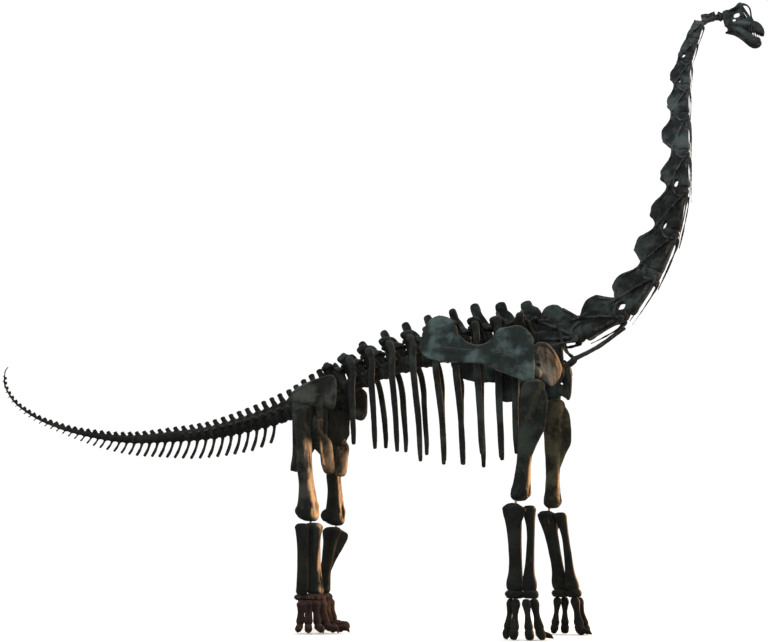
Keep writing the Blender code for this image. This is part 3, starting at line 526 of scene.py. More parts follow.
def painted_sunlight_group():
    """Painted sunlight: a warm ochre on the faces that look forward, towards a low sun, by more than `Facing`,
    under the height given by its fourth input, above which the trunk's painted shadow falls, broken up by
    streaks that run down the bone."""
    tree, given, put = group_of(
        "painted_low_sun",
        (("Colour", "NodeSocketColor", None), ("Sunlit", "NodeSocketColor", (0.48, 0.30, 0.165, 1)),
         ("Amount", "NodeSocketFloat", 0.6), ("Below", "NodeSocketFloat", 100.0),
         ("Facing", "NodeSocketFloat", 0.35)),
        (("Colour", "NodeSocketColor"),))
    shape = tree.nodes.new("ShaderNodeNewGeometry")
    turned = tree.nodes.new("ShaderNodeVectorMath")
    turned.operation = "DOT_PRODUCT"
    # The way the painted sunlight comes from: low, from the front and the animal's left.
    turned.inputs[1].default_value = (0.93, 0.30, 0.20)
    tree.links.new(shape.outputs["Normal"], turned.inputs[0])
    facing = ramp(tree, turned.outputs["Value"], given.outputs["Facing"], 0.88)
    drawn = tree.nodes.new("ShaderNodeMapping")
    drawn.inputs["Scale"].default_value = (7.0, 7.0, 1.6)
    tree.links.new(object_coords(tree), drawn.inputs["Vector"])
    broken = ramp(tree, noise(tree, drawn.outputs["Vector"], 1.0, 5.0), 0.36, 0.60)
    split = tree.nodes.new("ShaderNodeSeparateXYZ")
    tree.links.new(object_coords(tree), split.inputs["Vector"])
    # Painted shadow of the trunk: the painted sunlight fades out above the given height.
    under = sums(tree, "SUBTRACT", given.outputs["Below"], split.outputs["Z"])
    facing = sums(tree, "MULTIPLY", facing, ramp(tree, under, 0.0, 0.25))
    mask = sums(tree, "MULTIPLY", sums(tree, "MULTIPLY", facing, broken), given.outputs["Amount"])
    colour = mixed(tree, mask, given.outputs["Colour"], given.outputs["Sunlit"])
    tree.links.new(colour, put.inputs["Colour"])
    return tree


def grain_group():
    """Height of a cast bone's skin: long fibres, fine pits and a few cracks."""
    tree, given, put = group_of("bone_grain", (("Fibre", "NodeSocketVector", (30.0, 30.0, 5.0)),),
                                (("Height", "NodeSocketFloat"),))
    coords = object_coords(tree)
    drawn = tree.nodes.new("ShaderNodeVectorMath")
    drawn.operation = "MULTIPLY"
    tree.links.new(coords, drawn.inputs[0])
    tree.links.new(given.outputs["Fibre"], drawn.inputs[1])
    fibre = noise(tree, drawn.outputs["Vector"], 1.0, 6.0, 0.65)
    pits = tree.nodes.new("ShaderNodeTexVoronoi")
    pits.inputs["Scale"].default_value = 60.0
    tree.links.new(coords, pits.inputs["Vector"])
    pitted = sums(tree, "MULTIPLY", ramp(tree, pits.outputs["Distance"], 0.05, 0.35), 0.35)
    tree.links.new(sums(tree, "ADD", fibre, pitted), put.inputs["Height"])
    return tree


PATINA, WEAR_AND_SHADE, SUNLIGHT, GRAIN = patina_group(), wear_and_shade_group(), painted_sunlight_group(), grain_group()


DARK = (0.0052, 0.0066, 0.0060)
GREEN = (0.020, 0.030, 0.028)
BROWN = (0.024, 0.017, 0.013)
GREY = (0.070, 0.078, 0.074)
FINE, LONG = (22, 22, 22), (34, 34, 4)


def finish_of(name, bloom, blotch, worn, sunlight_amount, ground=DARK, dust=GREY, wear=0.6, dusting=0.4, fibre=LONG,
              roughness=0.50, shadow_line=100.0, facing=0.35):
    """Cast bone finish from the patina, painted sunlight, wear-and-shade and grain groups; the painted sunlight
    keeps under the given height, where the trunk's painted shadow begins, and to the faces that look forward by
    more than `facing`.
    `fibre` is how many grains lie in a metre along X, Y and Z, and `roughness` is added to the patina's own."""
    made = bpy.data.materials.new(name)
    made.use_nodes = True
    tree = made.node_tree
    shader = tree.nodes["Principled BSDF"]

    def placed_group(group, **values):
        node = tree.nodes.new("ShaderNodeGroup")
        node.node_tree = group
        for key, value in values.items():
            node.inputs[key].default_value = value
        return node

    patina = placed_group(PATINA, Ground=(*ground, 1), Bloom=(*bloom, 1), Blotch=(*blotch, 1))
    # Painted sunlight on the forward faces, cut off above the given height by a painted shadow.
    sunlight_node = placed_group(SUNLIGHT, Amount=sunlight_amount, Below=shadow_line, Facing=facing)
    # Rubbed edges, dust on level faces and painted shade on faces that look down.
    edge = placed_group(WEAR_AND_SHADE, Worn=(*worn, 1), Dust=(*dust, 1), Wear=wear, Dusting=dusting)
    skin = placed_group(GRAIN, Fibre=fibre)
    tree.links.new(patina.outputs["Colour"], sunlight_node.inputs["Colour"])
    tree.links.new(sunlight_node.outputs["Colour"], edge.inputs["Colour"])
    tree.links.new(edge.outputs["Colour"], shader.inputs["Base Color"])
    tree.links.new(sums(tree, "ADD", patina.outputs["Roughness"], roughness), shader.inputs["Roughness"])
    bump = tree.nodes.new("ShaderNodeBump")
    bump.inputs["Strength"].default_value = 0.6
    bump.inputs["Distance"].default_value = 0.026
    tree.links.new(skin.outputs["Height"], bump.inputs["Height"])
    tree.links.new(bump.outputs["Normal"], shader.inputs["Normal"])
    shader.inputs["Specular IOR Level"].default_value = 0.12
    return made


# The warm ochre amount in each finish is painted sunlight on its forward faces, strongest on the limbs and
# pubes.
BONE = finish_of("bronze_bone", bloom=GREEN, blotch=BROWN, worn=(0.060, 0.053, 0.044), wear=0.7, dusting=0.55,
                 sunlight_amount=0.08, fibre=FINE)
RIB = finish_of("bronze_rib", bloom=(0.016, 0.022, 0.020), blotch=BROWN, worn=(0.055, 0.045, 0.034), wear=0.5,
                dusting=0.3, sunlight_amount=0.30, facing=0.6)
TAIL = finish_of("bronze_tail", bloom=(0.010, 0.014, 0.0115), blotch=(0.018, 0.014, 0.010),
                 worn=(0.070, 0.055, 0.038), dust=(0.045, 0.048, 0.042), wear=0.7, sunlight_amount=0.12, fibre=FINE,
                 roughness=0.52)
FORE_LIMB = finish_of("bronze_fore_limb", bloom=(0.017, 0.022, 0.018), blotch=(0.030, 0.026, 0.016),
                      worn=(0.060, 0.047, 0.032), sunlight_amount=0.85, shadow_line=2.95, facing=0.45)
OLIVE_LIMB = finish_of("bronze_olive_limb", ground=(0.009, 0.0095, 0.0065), bloom=(0.042, 0.040, 0.025),
                       blotch=(0.050, 0.040, 0.023), worn=(0.080, 0.064, 0.040), sunlight_amount=0.95, shadow_line=2.95,
                       facing=0.40)
THIGH = finish_of("bronze_thigh", bloom=(0.026, 0.025, 0.020), blotch=(0.034, 0.022, 0.013),
                  worn=(0.09, 0.058, 0.036), dusting=0.2, sunlight_amount=1.05, shadow_line=3.5, facing=0.22)
SHIN = finish_of("bronze_shin", bloom=(0.009, 0.0105, 0.0085), blotch=(0.022, 0.015, 0.009),
                 worn=(0.08, 0.05, 0.03), dusting=0.2, sunlight_amount=0.75, facing=0.25)
# The basin's wall: darker than the bones round it, painted shade, and with no painted sunlight.
BASIN_SHADE = finish_of("bronze_basin_painted_shade", ground=(0.004, 0.005, 0.0045), bloom=(0.008, 0.010, 0.009),
                   blotch=(0.012, 0.009, 0.007), worn=(0.03, 0.026, 0.02), dust=(0.02, 0.02, 0.018), wear=0.3,
                   dusting=0.2, sunlight_amount=0.0, roughness=0.60)
# The far shin and the fibulae: a darker copy of the shin's finish, painted shade, with little painted sunlight.
DARK_SHIN = finish_of("bronze_dark_shin", ground=(0.0040, 0.0048, 0.0042), bloom=(0.0075, 0.0090, 0.0075),
                      blotch=(0.014, 0.010, 0.007), worn=(0.06, 0.04, 0.026), wear=0.5, dusting=0.2,
                      sunlight_amount=0.08, roughness=0.52, facing=0.60)
# The pubes: tan clouds and blotches, and warm ochre on nearly every face under the given height, all painted
# sunlight.
PUBIS = finish_of("bronze_pubis_painted_sunlight", ground=(0.016, 0.013, 0.009), bloom=(0.13, 0.086, 0.048),
                  blotch=(0.15, 0.098, 0.055), worn=(0.12, 0.080, 0.050), wear=0.5, dusting=0.2, sunlight_amount=1.15,
                  shadow_line=3.55, facing=-0.40)
BLADE = finish_of("bronze_blade", ground=(0.0095, 0.0135, 0.0125), bloom=(0.046, 0.066, 0.064),
                  blotch=(0.024, 0.022, 0.018), worn=(0.085, 0.085, 0.077), dust=(0.090, 0.102, 0.098),
                  wear=0.7, dusting=0.7, sunlight_amount=0.10, fibre=(12, 30, 30), roughness=0.46, facing=0.6)
CORACOID = finish_of("bronze_coracoid", bloom=(0.040, 0.052, 0.049), blotch=(0.060, 0.040, 0.024),
                     worn=(0.085, 0.065, 0.044), sunlight_amount=0.34, fibre=(20, 20, 20), roughness=0.48, facing=0.10)
HIP_BLADE = finish_of("bronze_hip", ground=(0.0070, 0.0080, 0.0070), bloom=(0.038, 0.042, 0.036),
                      blotch=(0.028, 0.021, 0.016), worn=(0.07, 0.06, 0.047), dust=(0.075, 0.074, 0.068),
                      dusting=0.6, sunlight_amount=0.12, fibre=(14, 26, 26), facing=0.6)
HEAD = finish_of("bronze_head", ground=(0.011, 0.014, 0.014), bloom=(0.048, 0.062, 0.062),
                 blotch=(0.044, 0.034, 0.036), worn=(0.085, 0.078, 0.080), dust=(0.090, 0.096, 0.096),
                 wear=0.8, dusting=0.6, sunlight_amount=0.05, fibre=(22, 22, 22), facing=0.6)
DARK_FORE = finish_of("bronze_dark_fore", ground=(0.0040, 0.0048, 0.0042), bloom=(0.0085, 0.0105, 0.0088),
                      blotch=(0.014, 0.012, 0.008), worn=(0.040, 0.033, 0.024), dust=(0.030, 0.032, 0.028),
                      wear=0.5, dusting=0.3, sunlight_amount=0.45, shadow_line=2.95, facing=0.62)
# The far thigh: a darker copy of the thigh's finish, painted shade, with a narrow strip of painted sunlight.
FAR_THIGH = finish_of("bronze_far_thigh", bloom=(0.0085, 0.0105, 0.0088), blotch=(0.020, 0.014, 0.009),
                      worn=(0.07, 0.047, 0.03), dusting=0.2, sunlight_amount=1.1, shadow_line=3.5, facing=0.62)
NECK = finish_of("bronze_neck", ground=(0.0068, 0.0082, 0.0078), bloom=(0.024, 0.033, 0.031),
                 blotch=(0.032, 0.024, 0.026), worn=(0.070, 0.061, 0.063), dust=(0.066, 0.067, 0.066),
                 wear=0.8, dusting=0.5, sunlight_amount=0.08, fibre=(22, 22, 10), facing=0.6)
RUST = finish_of("rust_foot", ground=(0.010, 0.0054, 0.0045), bloom=(0.032, 0.016, 0.013),
                 blotch=(0.016, 0.007, 0.0056), worn=(0.11, 0.056, 0.044), dust=(0.055, 0.033, 0.028),
                 wear=0.7, sunlight_amount=0.08, fibre=(26, 26, 12))


# Neck

# See-through gaps near some joints: how far ahead and up from the joint, half-length and half-height
NECK_WINDOWS = {3: (0.115, 0.060, 0.036, 0.026), 4: (0.079, 0.105, 0.050, 0.034),
                5: (0.083, 0.112, 0.040, 0.022), 8: (0.061, 0.112, 0.078, 0.036),
                9: (0.030, 0.155, 0.080, 0.032), 11: (-0.029, 0.085, 0.085, 0.075)}


def neck_radius(s):
    """Half-width of a neck vertebra's body at length s, growing to the shoulders."""
    part = s / COLUMN.joints[NECK_END]
    return 0.055 + 0.105 * part ** 0.8


def cervical(number, front, rear):
    """Neck vertebra: a waisted body as rings along it, an arch as slices as high as the joint processes at
    its two ends, a hump-like spine as slices over it, further back on the last vertebra, tubes for the
    joint processes and the ridges between them, a pair of long thin ribs, and side hollows as dents."""
    half, middle = 0.5 * (rear - front), 0.5 * (front + rear)
    r, height = neck_radius(middle), NECK_SPINES[number]
    before, behind = NECK_SADDLES[number:number + 2]
    rise = height - 0.5 * (before + behind)
    set_back = 0.26 if number == NECK_END - 1 else 0.0
    skins = [tube([(part * half, 0, up * r, wide * r, tall * r) for part, up, wide, tall in (
        (0.98, 0, 0.66, 0.66), (0.86, 0, 0.92, 0.90), (0.55, 0, 0.84, 0.84), (0.0, 0.04, 0.74, 0.80),
        (-0.55, 0, 0.92, 0.88), (-0.90, 0, 1.08, 1.02), (-1.0, 0, 1.04, 0.98))], sides=22, dome=0.35),
        slices([(part * half, top, low, 0, wide) for part, top, low, wide in (
            (1.02, before, 0.1 * before, 0.52 * r), (0.80, 1.03 * before, 0, 0.60 * r),
            (0.35, before + 0.25 * rise, 0, 0.55 * r), (-0.25, behind + 0.25 * rise, 0, 0.58 * r),
            (-0.78, 1.03 * behind, 0, 0.66 * r), (-1.01, behind, 0.1 * behind, 0.56 * r))], 20, 5, 0.9, 0.15),
        slices([((part - set_back) * half, top, 0.4 * before, 0, wide) for part, top, wide in (
            (0.80, before + 0.02 * rise, 0.20 * r), (0.52, before + 0.38 * rise, 0.26 * r),
            (0.20, before + 0.86 * rise, 0.30 * r), (-0.06, height - 0.01, 0.34 * r + 0.008),
            (-0.30, height - 0.02, 0.36 * r + 0.008), (-0.50, behind + 0.72 * rise, 0.30 * r),
            (-0.66, behind + 0.30 * rise, 0.26 * r), (-0.86, behind + 0.01 * rise, 0.22 * r))], 18, 5, 0.9,
               0.2)]
    pairs = [
        tube([(0.40 * half, 0.30 * r, 0.70 * before, 0.28 * r),
              (0.85 * half, 0.62 * r, 0.84 * before, 0.24 * r),
              (1.03 * half, 0.66 * r, 0.86 * before, 0.20 * r)], flat=0.8),
        tube([(-0.30 * half, 0.25 * r, 0.75 * behind, 0.28 * r),
              (-0.75 * half, 0.58 * r, 0.86 * behind, 0.25 * r),
              (-0.98 * half, 0.66 * r, 0.88 * behind, 0.20 * r)], flat=0.8),
        tube([(0.80 * half, 0.70 * r, 0.62 * before, 0.16 * r), (0.45 * half, 1.00 * r, 0.05 * r, 0.17 * r),
              (0.50 * half, 1.02 * r, -0.50 * r, 0.18 * r)]),
        tube([(-0.85 * half, 0.66 * r, 0.80 * behind, 0.17 * r),
              (-0.25 * half, 0.74 * r, 0.45 * behind, 0.17 * r), (0.42 * half, 0.98 * r, -0.15 * r, 0.18 * r)]),
        tube([(-0.92 * half, 0.90 * r, -0.25 * r, 0.18 * r), (-0.30 * half, 0.78 * r, -0.35 * r, 0.16 * r),
              (0.60 * half, 0.85 * r, -0.50 * r, 0.20 * r)]),
        tube([(-0.40 * half, 0.20 * r, before + 0.70 * rise, 0.16 * r),
              (-0.80 * half, 0.50 * r, 0.95 * behind, 0.18 * r)]),
        tube([(0.10 * half, 0.20 * r, before + 0.60 * rise, 0.14 * r),
              (0.70 * half, 0.52 * r, 0.92 * before, 0.18 * r)]),
    ]
    if number > 1:
        back = np.interp(number, (9, 11), (1.75, 1.05))
        pairs.append(tube([(0.62 * half, 0.75 * r, -0.30 * r, 0.24 * r),
                           (0.66 * half, 0.98 * r, -0.72 * r, 0.26 * r),
                           (0.45 * half, 1.02 * r, -0.95 * r, 0.20 * r), (0.0, 1.00 * r, -1.08 * r, 0.15 * r),
                           (-0.55 * back * half, 0.95 * r, -1.13 * r, 0.115 * r),
                           (-back * half, 0.90 * r, -1.10 * r, 0.080 * r)],
                          (1, 0, 0.4), 6, 12))
    skins += both(pairs)
    origin, axes = COLUMN.frame(middle)
    skins = [placed(skin, origin, axes) for skin in skins]
    if number == NECK_END - 1:
        skins += neck_root()
    hollows = []
    for side in (1, -1):
        for part, up, deep, long, tall in ((-0.30, 0.02, 0.34, 0.42, 0.60),
                                           (0.78, 0.75 * before / r, 0.22, 0.20, 0.45),
                                           (-0.35, 0.70 * behind / r, 0.24, 0.34, 0.50),
                                           (0.15, 0.85 * before / r, 0.22, 0.26, 0.50)):
            centre = origin + np.array((part * half, side * 0.85 * r, up * r)) @ axes
            reach = max(long * half, tall * r)
            hollows.append((centre, (reach, 0.85 * r, reach), axes[1] * -side * 1.3 * deep * r))
    return skins, hollows


def neck_root():
    """Under the last neck vertebra: a wall down towards the coracoids as slices, and on each side a bowed
    strut before it and the long thin rod that sags from the neck to it, as tubes through measured points."""
    wall = slices(((4.62, 5.05, 4.58, 0, 0.10), (4.78, 5.08, 4.40, 0, 0.11), (4.91, 5.08, 4.27, 0, 0.09),
                   (5.00, 5.05, 4.33, 0, 0.06)), 20, 5, 0.8, 0.2)
    sides = [tube(((5.00, 0.10, 5.25, 0.055), (5.02, 0.11, 4.97, 0.034), (5.09, 0.11, 4.75, 0.026),
                   (5.20, 0.10, 4.63, 0.034), (5.12, 0.10, 4.55, 0.028), (5.03, 0.10, 4.52, 0.034)), (0, 1, 0)),
             tube(((6.10, 0.06, 5.10, 0.026), (5.86, 0.05, 4.94, 0.028), (5.66, 0.05, 4.815, 0.026),
                   (5.43, 0.05, 4.72, 0.026), (5.21, 0.06, 4.635, 0.030), (5.02, 0.08, 4.50, 0.030)),
                  (0, 1, 0))]
    return [wall] + both(sides)


def neck():
    """The 13 neck vertebrae, one piece each, in the three runs of the source."""
    for name, first, last in (("neck_upper", 0, 5), ("neck_middle", 5, 9), ("neck_lower", 9, 13)):
        for number in range(first, last):
            skins, hollows = cervical(number, *COLUMN.joints[number:number + 2])
            bone(f"cervical_{number + 1:02d}", skins, [name], HEAD if number < 8 else NECK,
                 voxel=np.interp(number, (0, 12), (0.55, 0.95)), soften=2, dents=hollows,
                 relief=0.004 + 0.0004 * number, grain=(1, 1, 1.6),
                 cutters=[window(joint) for joint in (number, number + 1) if joint in NECK_WINDOWS])


def window(joint):
    """Oval bar across the neck near a joint, lofted along Y, to open the gap between two arches and their
    bodies."""
    ahead, up, long, high = NECK_WINDOWS[joint]
    origin, axes = COLUMN.frame(COLUMN.joints[joint])
    ends = [(ahead, y, up) for y in (-0.5, 0, 0.5)]
    return placed(loft(ends, [(long, 0, 0)] * 3, [(0, 0, high)] * 3, 16, 1.0, 0.1), origin, axes)


# Trunk

def dorsal(number, front, rear, nodes, height, wing):
    """Trunk vertebra: a spool of rings with side hollows, upright rings for a broad arch and a stout spine
    with a round top, tubes for two rising wings, their struts and the joint processes. At the shoulders
    the spine is broader, stands further ahead and leans back less, and the wings rise less."""
    length, r = rear - front, 0.150
    half = 0.5 * length
    lean = np.interp(number, (0, 1, 2, 3, 4), (0.07, 0.10, 0.13, 0.14, 0.16))
    ahead = np.interp(number, (0, 1, 2, 3, 4), (0.10, 0.08, 0.03, 0.02, 0.0))
    broad = length * np.interp(number, (0, 1, 2, 3, 4), (1.30, 1.25, 1.05, 0.90, 0.95))
    rise = np.interp(number, (0, 1, 2), (-0.16, -0.06, 0.0))
    skins = [tube([(part * half, 0, 0, size * r, size * r * 1.02) for part, size in (
        (0.96, 0.80), (0.80, 1.02), (0.35, 0.84), (-0.10, 0.80), (-0.60, 0.92), (-0.86, 1.10), (-0.98, 1.06))],
        sides=24, dome=0.25),
        tube([(0.02, 0, 0.06, 0.42 * length, 0.11), (0, 0, 0.24, 0.45 * length, 0.125),
              (-0.01, 0, 0.42, 0.44 * length, 0.115)], (1, 0, 0), 5, 18, fullness=0.8),
        tube([(ahead + 0.02, 0, 0.36, 0.33 * broad, 0.075),
              (ahead - 0.30 * lean, 0, 0.54, 0.265 * broad, 0.060),
              (ahead - 0.68 * lean, 0, height - 0.24, 0.205 * broad, 0.052),
              (ahead - 0.88 * lean, 0, height - 0.13, 0.205 * broad, 0.062),
              (ahead - lean, 0, height - 0.065, 0.190 * broad, 0.058)], (1, 0, 0), 6, 18, fullness=0.95,
             dome=0.9)]
    pairs = [
        tube([(0, 0.02, 0.33, 0.120, 0.080), (-0.01, 0.55 * wing, 0.40 + 0.6 * rise, 0.115, 0.066),
              (-0.02, 0.88 * wing, 0.46 + rise, 0.135, 0.066), (-0.02, wing, 0.475 + rise, 0.125, 0.066)],
             (1, 0, 0)),
        tube([(-0.02, 0.85 * wing, 0.42, 0.050), (-0.04, 0.45 * wing, 0.24, 0.045),
              (-0.11, 0.09, 0.04, 0.050)]),
        tube([(0.01, 0.80 * wing, 0.42, 0.045), (0.06, 0.40 * wing, 0.26, 0.042), (0.12, 0.09, 0.06, 0.048)]),
        tube([(-0.02, 0.75 * wing, 0.45 + rise, 0.040), (-0.5 * lean, 0.25 * wing, 0.55, 0.036),
              (-0.8 * lean, 0.03, height - 0.22, 0.034)]),
        tube([(0.25 * half, 0.05, 0.33, 0.065), (0.97 * half, 0.075, 0.38, 0.058)], flat=0.8),
        tube([(-0.25 * half, 0.05, 0.38, 0.065), (-0.97 * half, 0.070, 0.44, 0.056)], flat=0.8),
    ]
    origin, axes = COLUMN.frame(0.5 * (front + rear))
    skins = [placed(skin, origin, axes) for skin in skins + both(pairs)]
    hollows = [(origin + np.array((0, side * 0.16, 0.02)) @ axes, (0.11, 0.12, 0.08), axes[1] * -side * 0.05)
               for side in (1, -1)]
    bone(f"dorsal_{number + 1:02d}", skins, nodes, BONE, voxel=0.9, soften=2, dents=hollows, relief=0.006,
         grain=(1, 1, 1.6))


def rib(number, x, z, side, word):
    """One rib: a flat tube from its head through the knob behind the wing and down to its tip, and a second
    tube for the fork of its head. The left ribs reach less far forward. The first rib carries a breast
    plate, as slices. Skins are pressed in to stay under the shoulder blade's inner plane."""
    wide, tip = RIB_WIDTHS[number], RIB_TIPS[number] + (FAR_RIB_LIFT if side > 0 else 0)
    forward = np.interp(number, (0, 1, 2, 4, 8), (-0.13, 0.06, 0.15, 0.33, 0.26))
    if side > 0:
        forward += np.interp(number, (0, 1, 2, 3, 4, 5, 6), (-0.18, -0.08, -0.10, -0.10, -0.17, -0.10, 0))
    inner = min(0.70, 0.40 + 0.42 * wide)
    path = [(x - 0.01, 0.36, z + 0.38, 0.060, 0.055), (x + 0.05 * forward, 0.44, z + 0.38, 0.074, 0.060),
            (x + 0.50 * forward, 0.74 * wide, z + 0.17, 0.066, 0.042),
            (x + 0.75 * forward, 0.95 * wide, z - 0.32, 0.066, 0.036),
            (x + 0.82 * forward, 0.475 * wide + 0.5 * inner, 0.62 * z + 0.38 * tip, 0.064, 0.034),
            (x + 0.93 * forward, inner + 0.01, 0.35 * z + 0.65 * tip, 0.058, 0.030),
            (x + 0.99 * forward, inner + 0.01, tip + 0.22, 0.052, 0.027),
            (x + forward, inner, tip + 0.03, 0.040, 0.022)]
    skins = [tube(path, (1, 0, 0), 6, 14, fullness=0.9, dome=0.9),
             tube([(x + 0.10 * forward, 0.48, z + 0.34, 0.050, 0.040), (x + 0.02, 0.30, z + 0.18, 0.038),
                   (x + 0.02, 0.15, z + 0.10, 0.045)], (1, 0, 0))]
    if number == 0:
        skins.append(slices(((3.90, 4.30, 3.95, 0.50, 0.030), (4.02, 4.40, 3.87, 0.52, 0.040),
                             (4.18, 4.42, 3.85, 0.53, 0.042), (4.33, 4.36, 3.90, 0.55, 0.034)), 20, 4, 0.8,
                            0.2))
    flat = np.array((0, 1, SCAPULA_TILT)) / math.hypot(1, SCAPULA_TILT)
    skins = [(points - np.maximum((points - (0, SCAPULA_Y - 0.004, SCAPULA_Z)) @ flat, 0)[:, None] * flat,
              quads, caps)
             for points, quads, caps in skins]
    bone(f"rib_{number + 1}_{word}", sided(skins, side), ["torso_" + word], RIB, voxel=0.9, soften=2,
         relief=0.004)


def torso():
    """The 10 trunk vertebrae and 9 pairs of ribs, one piece each."""
    joints = joints_between(COLUMN.joints[NECK_END], COLUMN.joints[NECK_END] + DORSALS * DORSAL_LENGTH, DORSALS)
    for number in range(DORSALS):
        front, rear = joints[number:number + 2]
        origin = COLUMN.frame(0.5 * (front + rear))[0]
        height = DORSAL_SPINE * np.interp(number, (0, 2, 6, 9), (0.88, 1.04, 0.93, 0.78))
        dorsal(number, front, rear, ["torso_right", "torso_left"], height, 0.40 if number < 9 else 0.30)
        if number < len(RIB_WIDTHS):
            for word, side in (("right", -1), ("left", 1)):
                rib(number, origin[0], origin[2], side, word)
    return joints[-1]


def sacrum(first):
    """Five fused vertebrae between the hips: a waisted tube and upright rings for a low spine each, and
    tubes across to the hip blades."""
    last = COLUMN.joints[HIPS_END]
    joints = joints_between(first, last, SACRALS)
    skins = []
    for number in range(SACRALS):
        front, rear = joints[number:number + 2]
        half = 0.5 * (rear - front)
        origin, axes = COLUMN.frame(0.5 * (front + rear))
        height = np.interp(number, (0, 4), (0.60, 0.46))
        own = [tube([(1.02 * half, 0, 0, 0.155), (0, 0, 0, 0.135), (-1.02 * half, 0, 0, 0.155)], sides=22,
                    dome=0.2),
               tube([(0, 0, 0.05, 0.45 * half, 0.11), (0, 0, 0.26, 0.42 * half, 0.085),
                     (-0.02, 0, height - 0.08, 0.62 * half, 0.055),
                     (-0.03, 0, height - 0.02, 0.68 * half, 0.062)], (1, 0, 0), 5, 16, dome=0.4)]
        skins += [placed(skin, origin, axes) for skin in own]
        if -0.40 < origin[0] < 0.6:
            skins += both([tube([(origin[0], 0.05, origin[2] + 0.05, 0.085, 0.13),
                                 (origin[0], 0.24, origin[2] + 0.06, 0.055, 0.10),
                                 (origin[0], ILIUM_Y, origin[2] + 0.06, 0.080, 0.14)], (1, 0, 0), 6, 16)])
    bone("sacral_block", skins, ["sacrum"], BONE, voxel=0.95, soften=2)
    return last


# Tail

def tail_radius(s):
    """Half-width of a tail vertebra's body at length s, shrinking to the tip."""
    part = (s - COLUMN.joints[HIPS_END]) / (COLUMN.length[-1] - COLUMN.joints[HIPS_END])
    return np.interp(part, (0, 0.08, 0.2, 0.33, 0.45, 0.57, 0.7, 0.85, 1),
                     (0.165, 0.165, 0.145, 0.115, 0.085, 0.056, 0.034, 0.020, 0.010))


def caudal(number, front, rear):
    """Tail vertebra: a spool of rings under a roof of slices, upright rings for a short block of a spine
    that leans back, tubes for the side processes and, under the joint, a flat rod that leans back too."""
    length, r = rear - front, tail_radius(0.5 * (front + rear))
    half = 0.5 * length
    height = np.interp(number, (0, 4, 9, 14, 22, 34, 44), (0.44, 0.34, 0.24, 0.20, 0.14, 0.055, 0.03))
    skins = [tube([(part * half, 0, 0, size * r, size * r) for part, size in (
        (0.98, 1.02), (0.80, 1.06), (0.0, 0.88), (-0.80, 1.06), (-0.98, 1.02))], sides=18, dome=0.12)]
    if number < 44:
        roof = max(0.62 * height, 1.1 * r)
        skins.append(slices([(part * half, top, 0, 0, 0.55 * r) for part, top in (
            (1.0, 0.90 * roof), (0.4, roof), (-0.4, roof), (-1.0, 0.90 * roof))], 14, 3, 0.8, 0.1))
        skins.append(tube([(0.10 * half, 0, 0.5 * roof, 0.34 * length, 0.42 * r),
                           (-0.15 * half, 0, roof, 0.28 * length, 0.32 * r + 0.005),
                           (-0.45 * half, 0, 0.55 * roof + 0.45 * height, 0.24 * length, 0.28 * r + 0.008),
                           (-0.65 * half, 0, height - 0.006, 0.255 * length, 0.30 * r + 0.008)], (1, 0, 0), 4,
                          14, fullness=0.75, dome=0.2))
    if number < 13:
        reach = r * np.interp(number, (0, 12), (2.3, 1.25))
        skins += both([tube([(0, 0.3 * r, 0.25 * r, 0.30 * length, 0.34 * r),
                             (-0.05 * length, 0.75 * reach, 0.2 * r, 0.19 * length, 0.18 * r),
                             (-0.08 * length, 0.97 * reach, 0.12 * r, 0.15 * length, 0.15 * r)], (1, 0, 0))])
    if 0 < number < 44:
        drop = np.interp(number, (1, 3, 10, 16, 28, 44), (0.34, 0.40, 0.36, 0.26, 0.065, 0.02))
        thick = np.interp(number, (0, 16, 28, 44), (0.030, 0.024, 0.011, 0.006))
        skins.append(tube([(-0.85 * half, 0, -0.70 * r, 1.2 * thick, 1.7 * thick),
                           (-0.95 * half - 0.06 * drop, 0, -r - 0.30 * drop, 0.9 * thick, 1.15 * thick),
                           (-0.95 * half - 0.20 * drop, 0, -r - 0.65 * drop, 0.8 * thick, 1.45 * thick),
                           (-0.95 * half - 0.40 * drop, 0, -r - 0.98 * drop, 0.8 * thick, 1.35 * thick)]))
    origin, axes = COLUMN.frame(0.5 * (front + rear))
    return [placed(skin, origin, axes) for skin in skins]


def tail(first):
    """The 48 tail vertebrae, shorter one by one, joined to one piece for each run of the source."""
    joints = joints_between(first, COLUMN.length[-1], CAUDALS, FIRST_TO_LAST_CAUDAL)
    for name, start, end, voxel in (("tail_base", 0, 9, 0.85), ("tail_middle", 9, 19, 0.75),
                                    ("tail_rear", 19, 31, 0.6), ("tail_tip", 31, CAUDALS, 0.42)):
        skins = [skin for number in range(start, end) for skin in caudal(number, *joints[number:number + 2])]
        bone(name + "_bones", skins, [name], TAIL, voxel=voxel, soften=1, relief=0.004 * voxel, grain=(1, 1, 1))


# Head

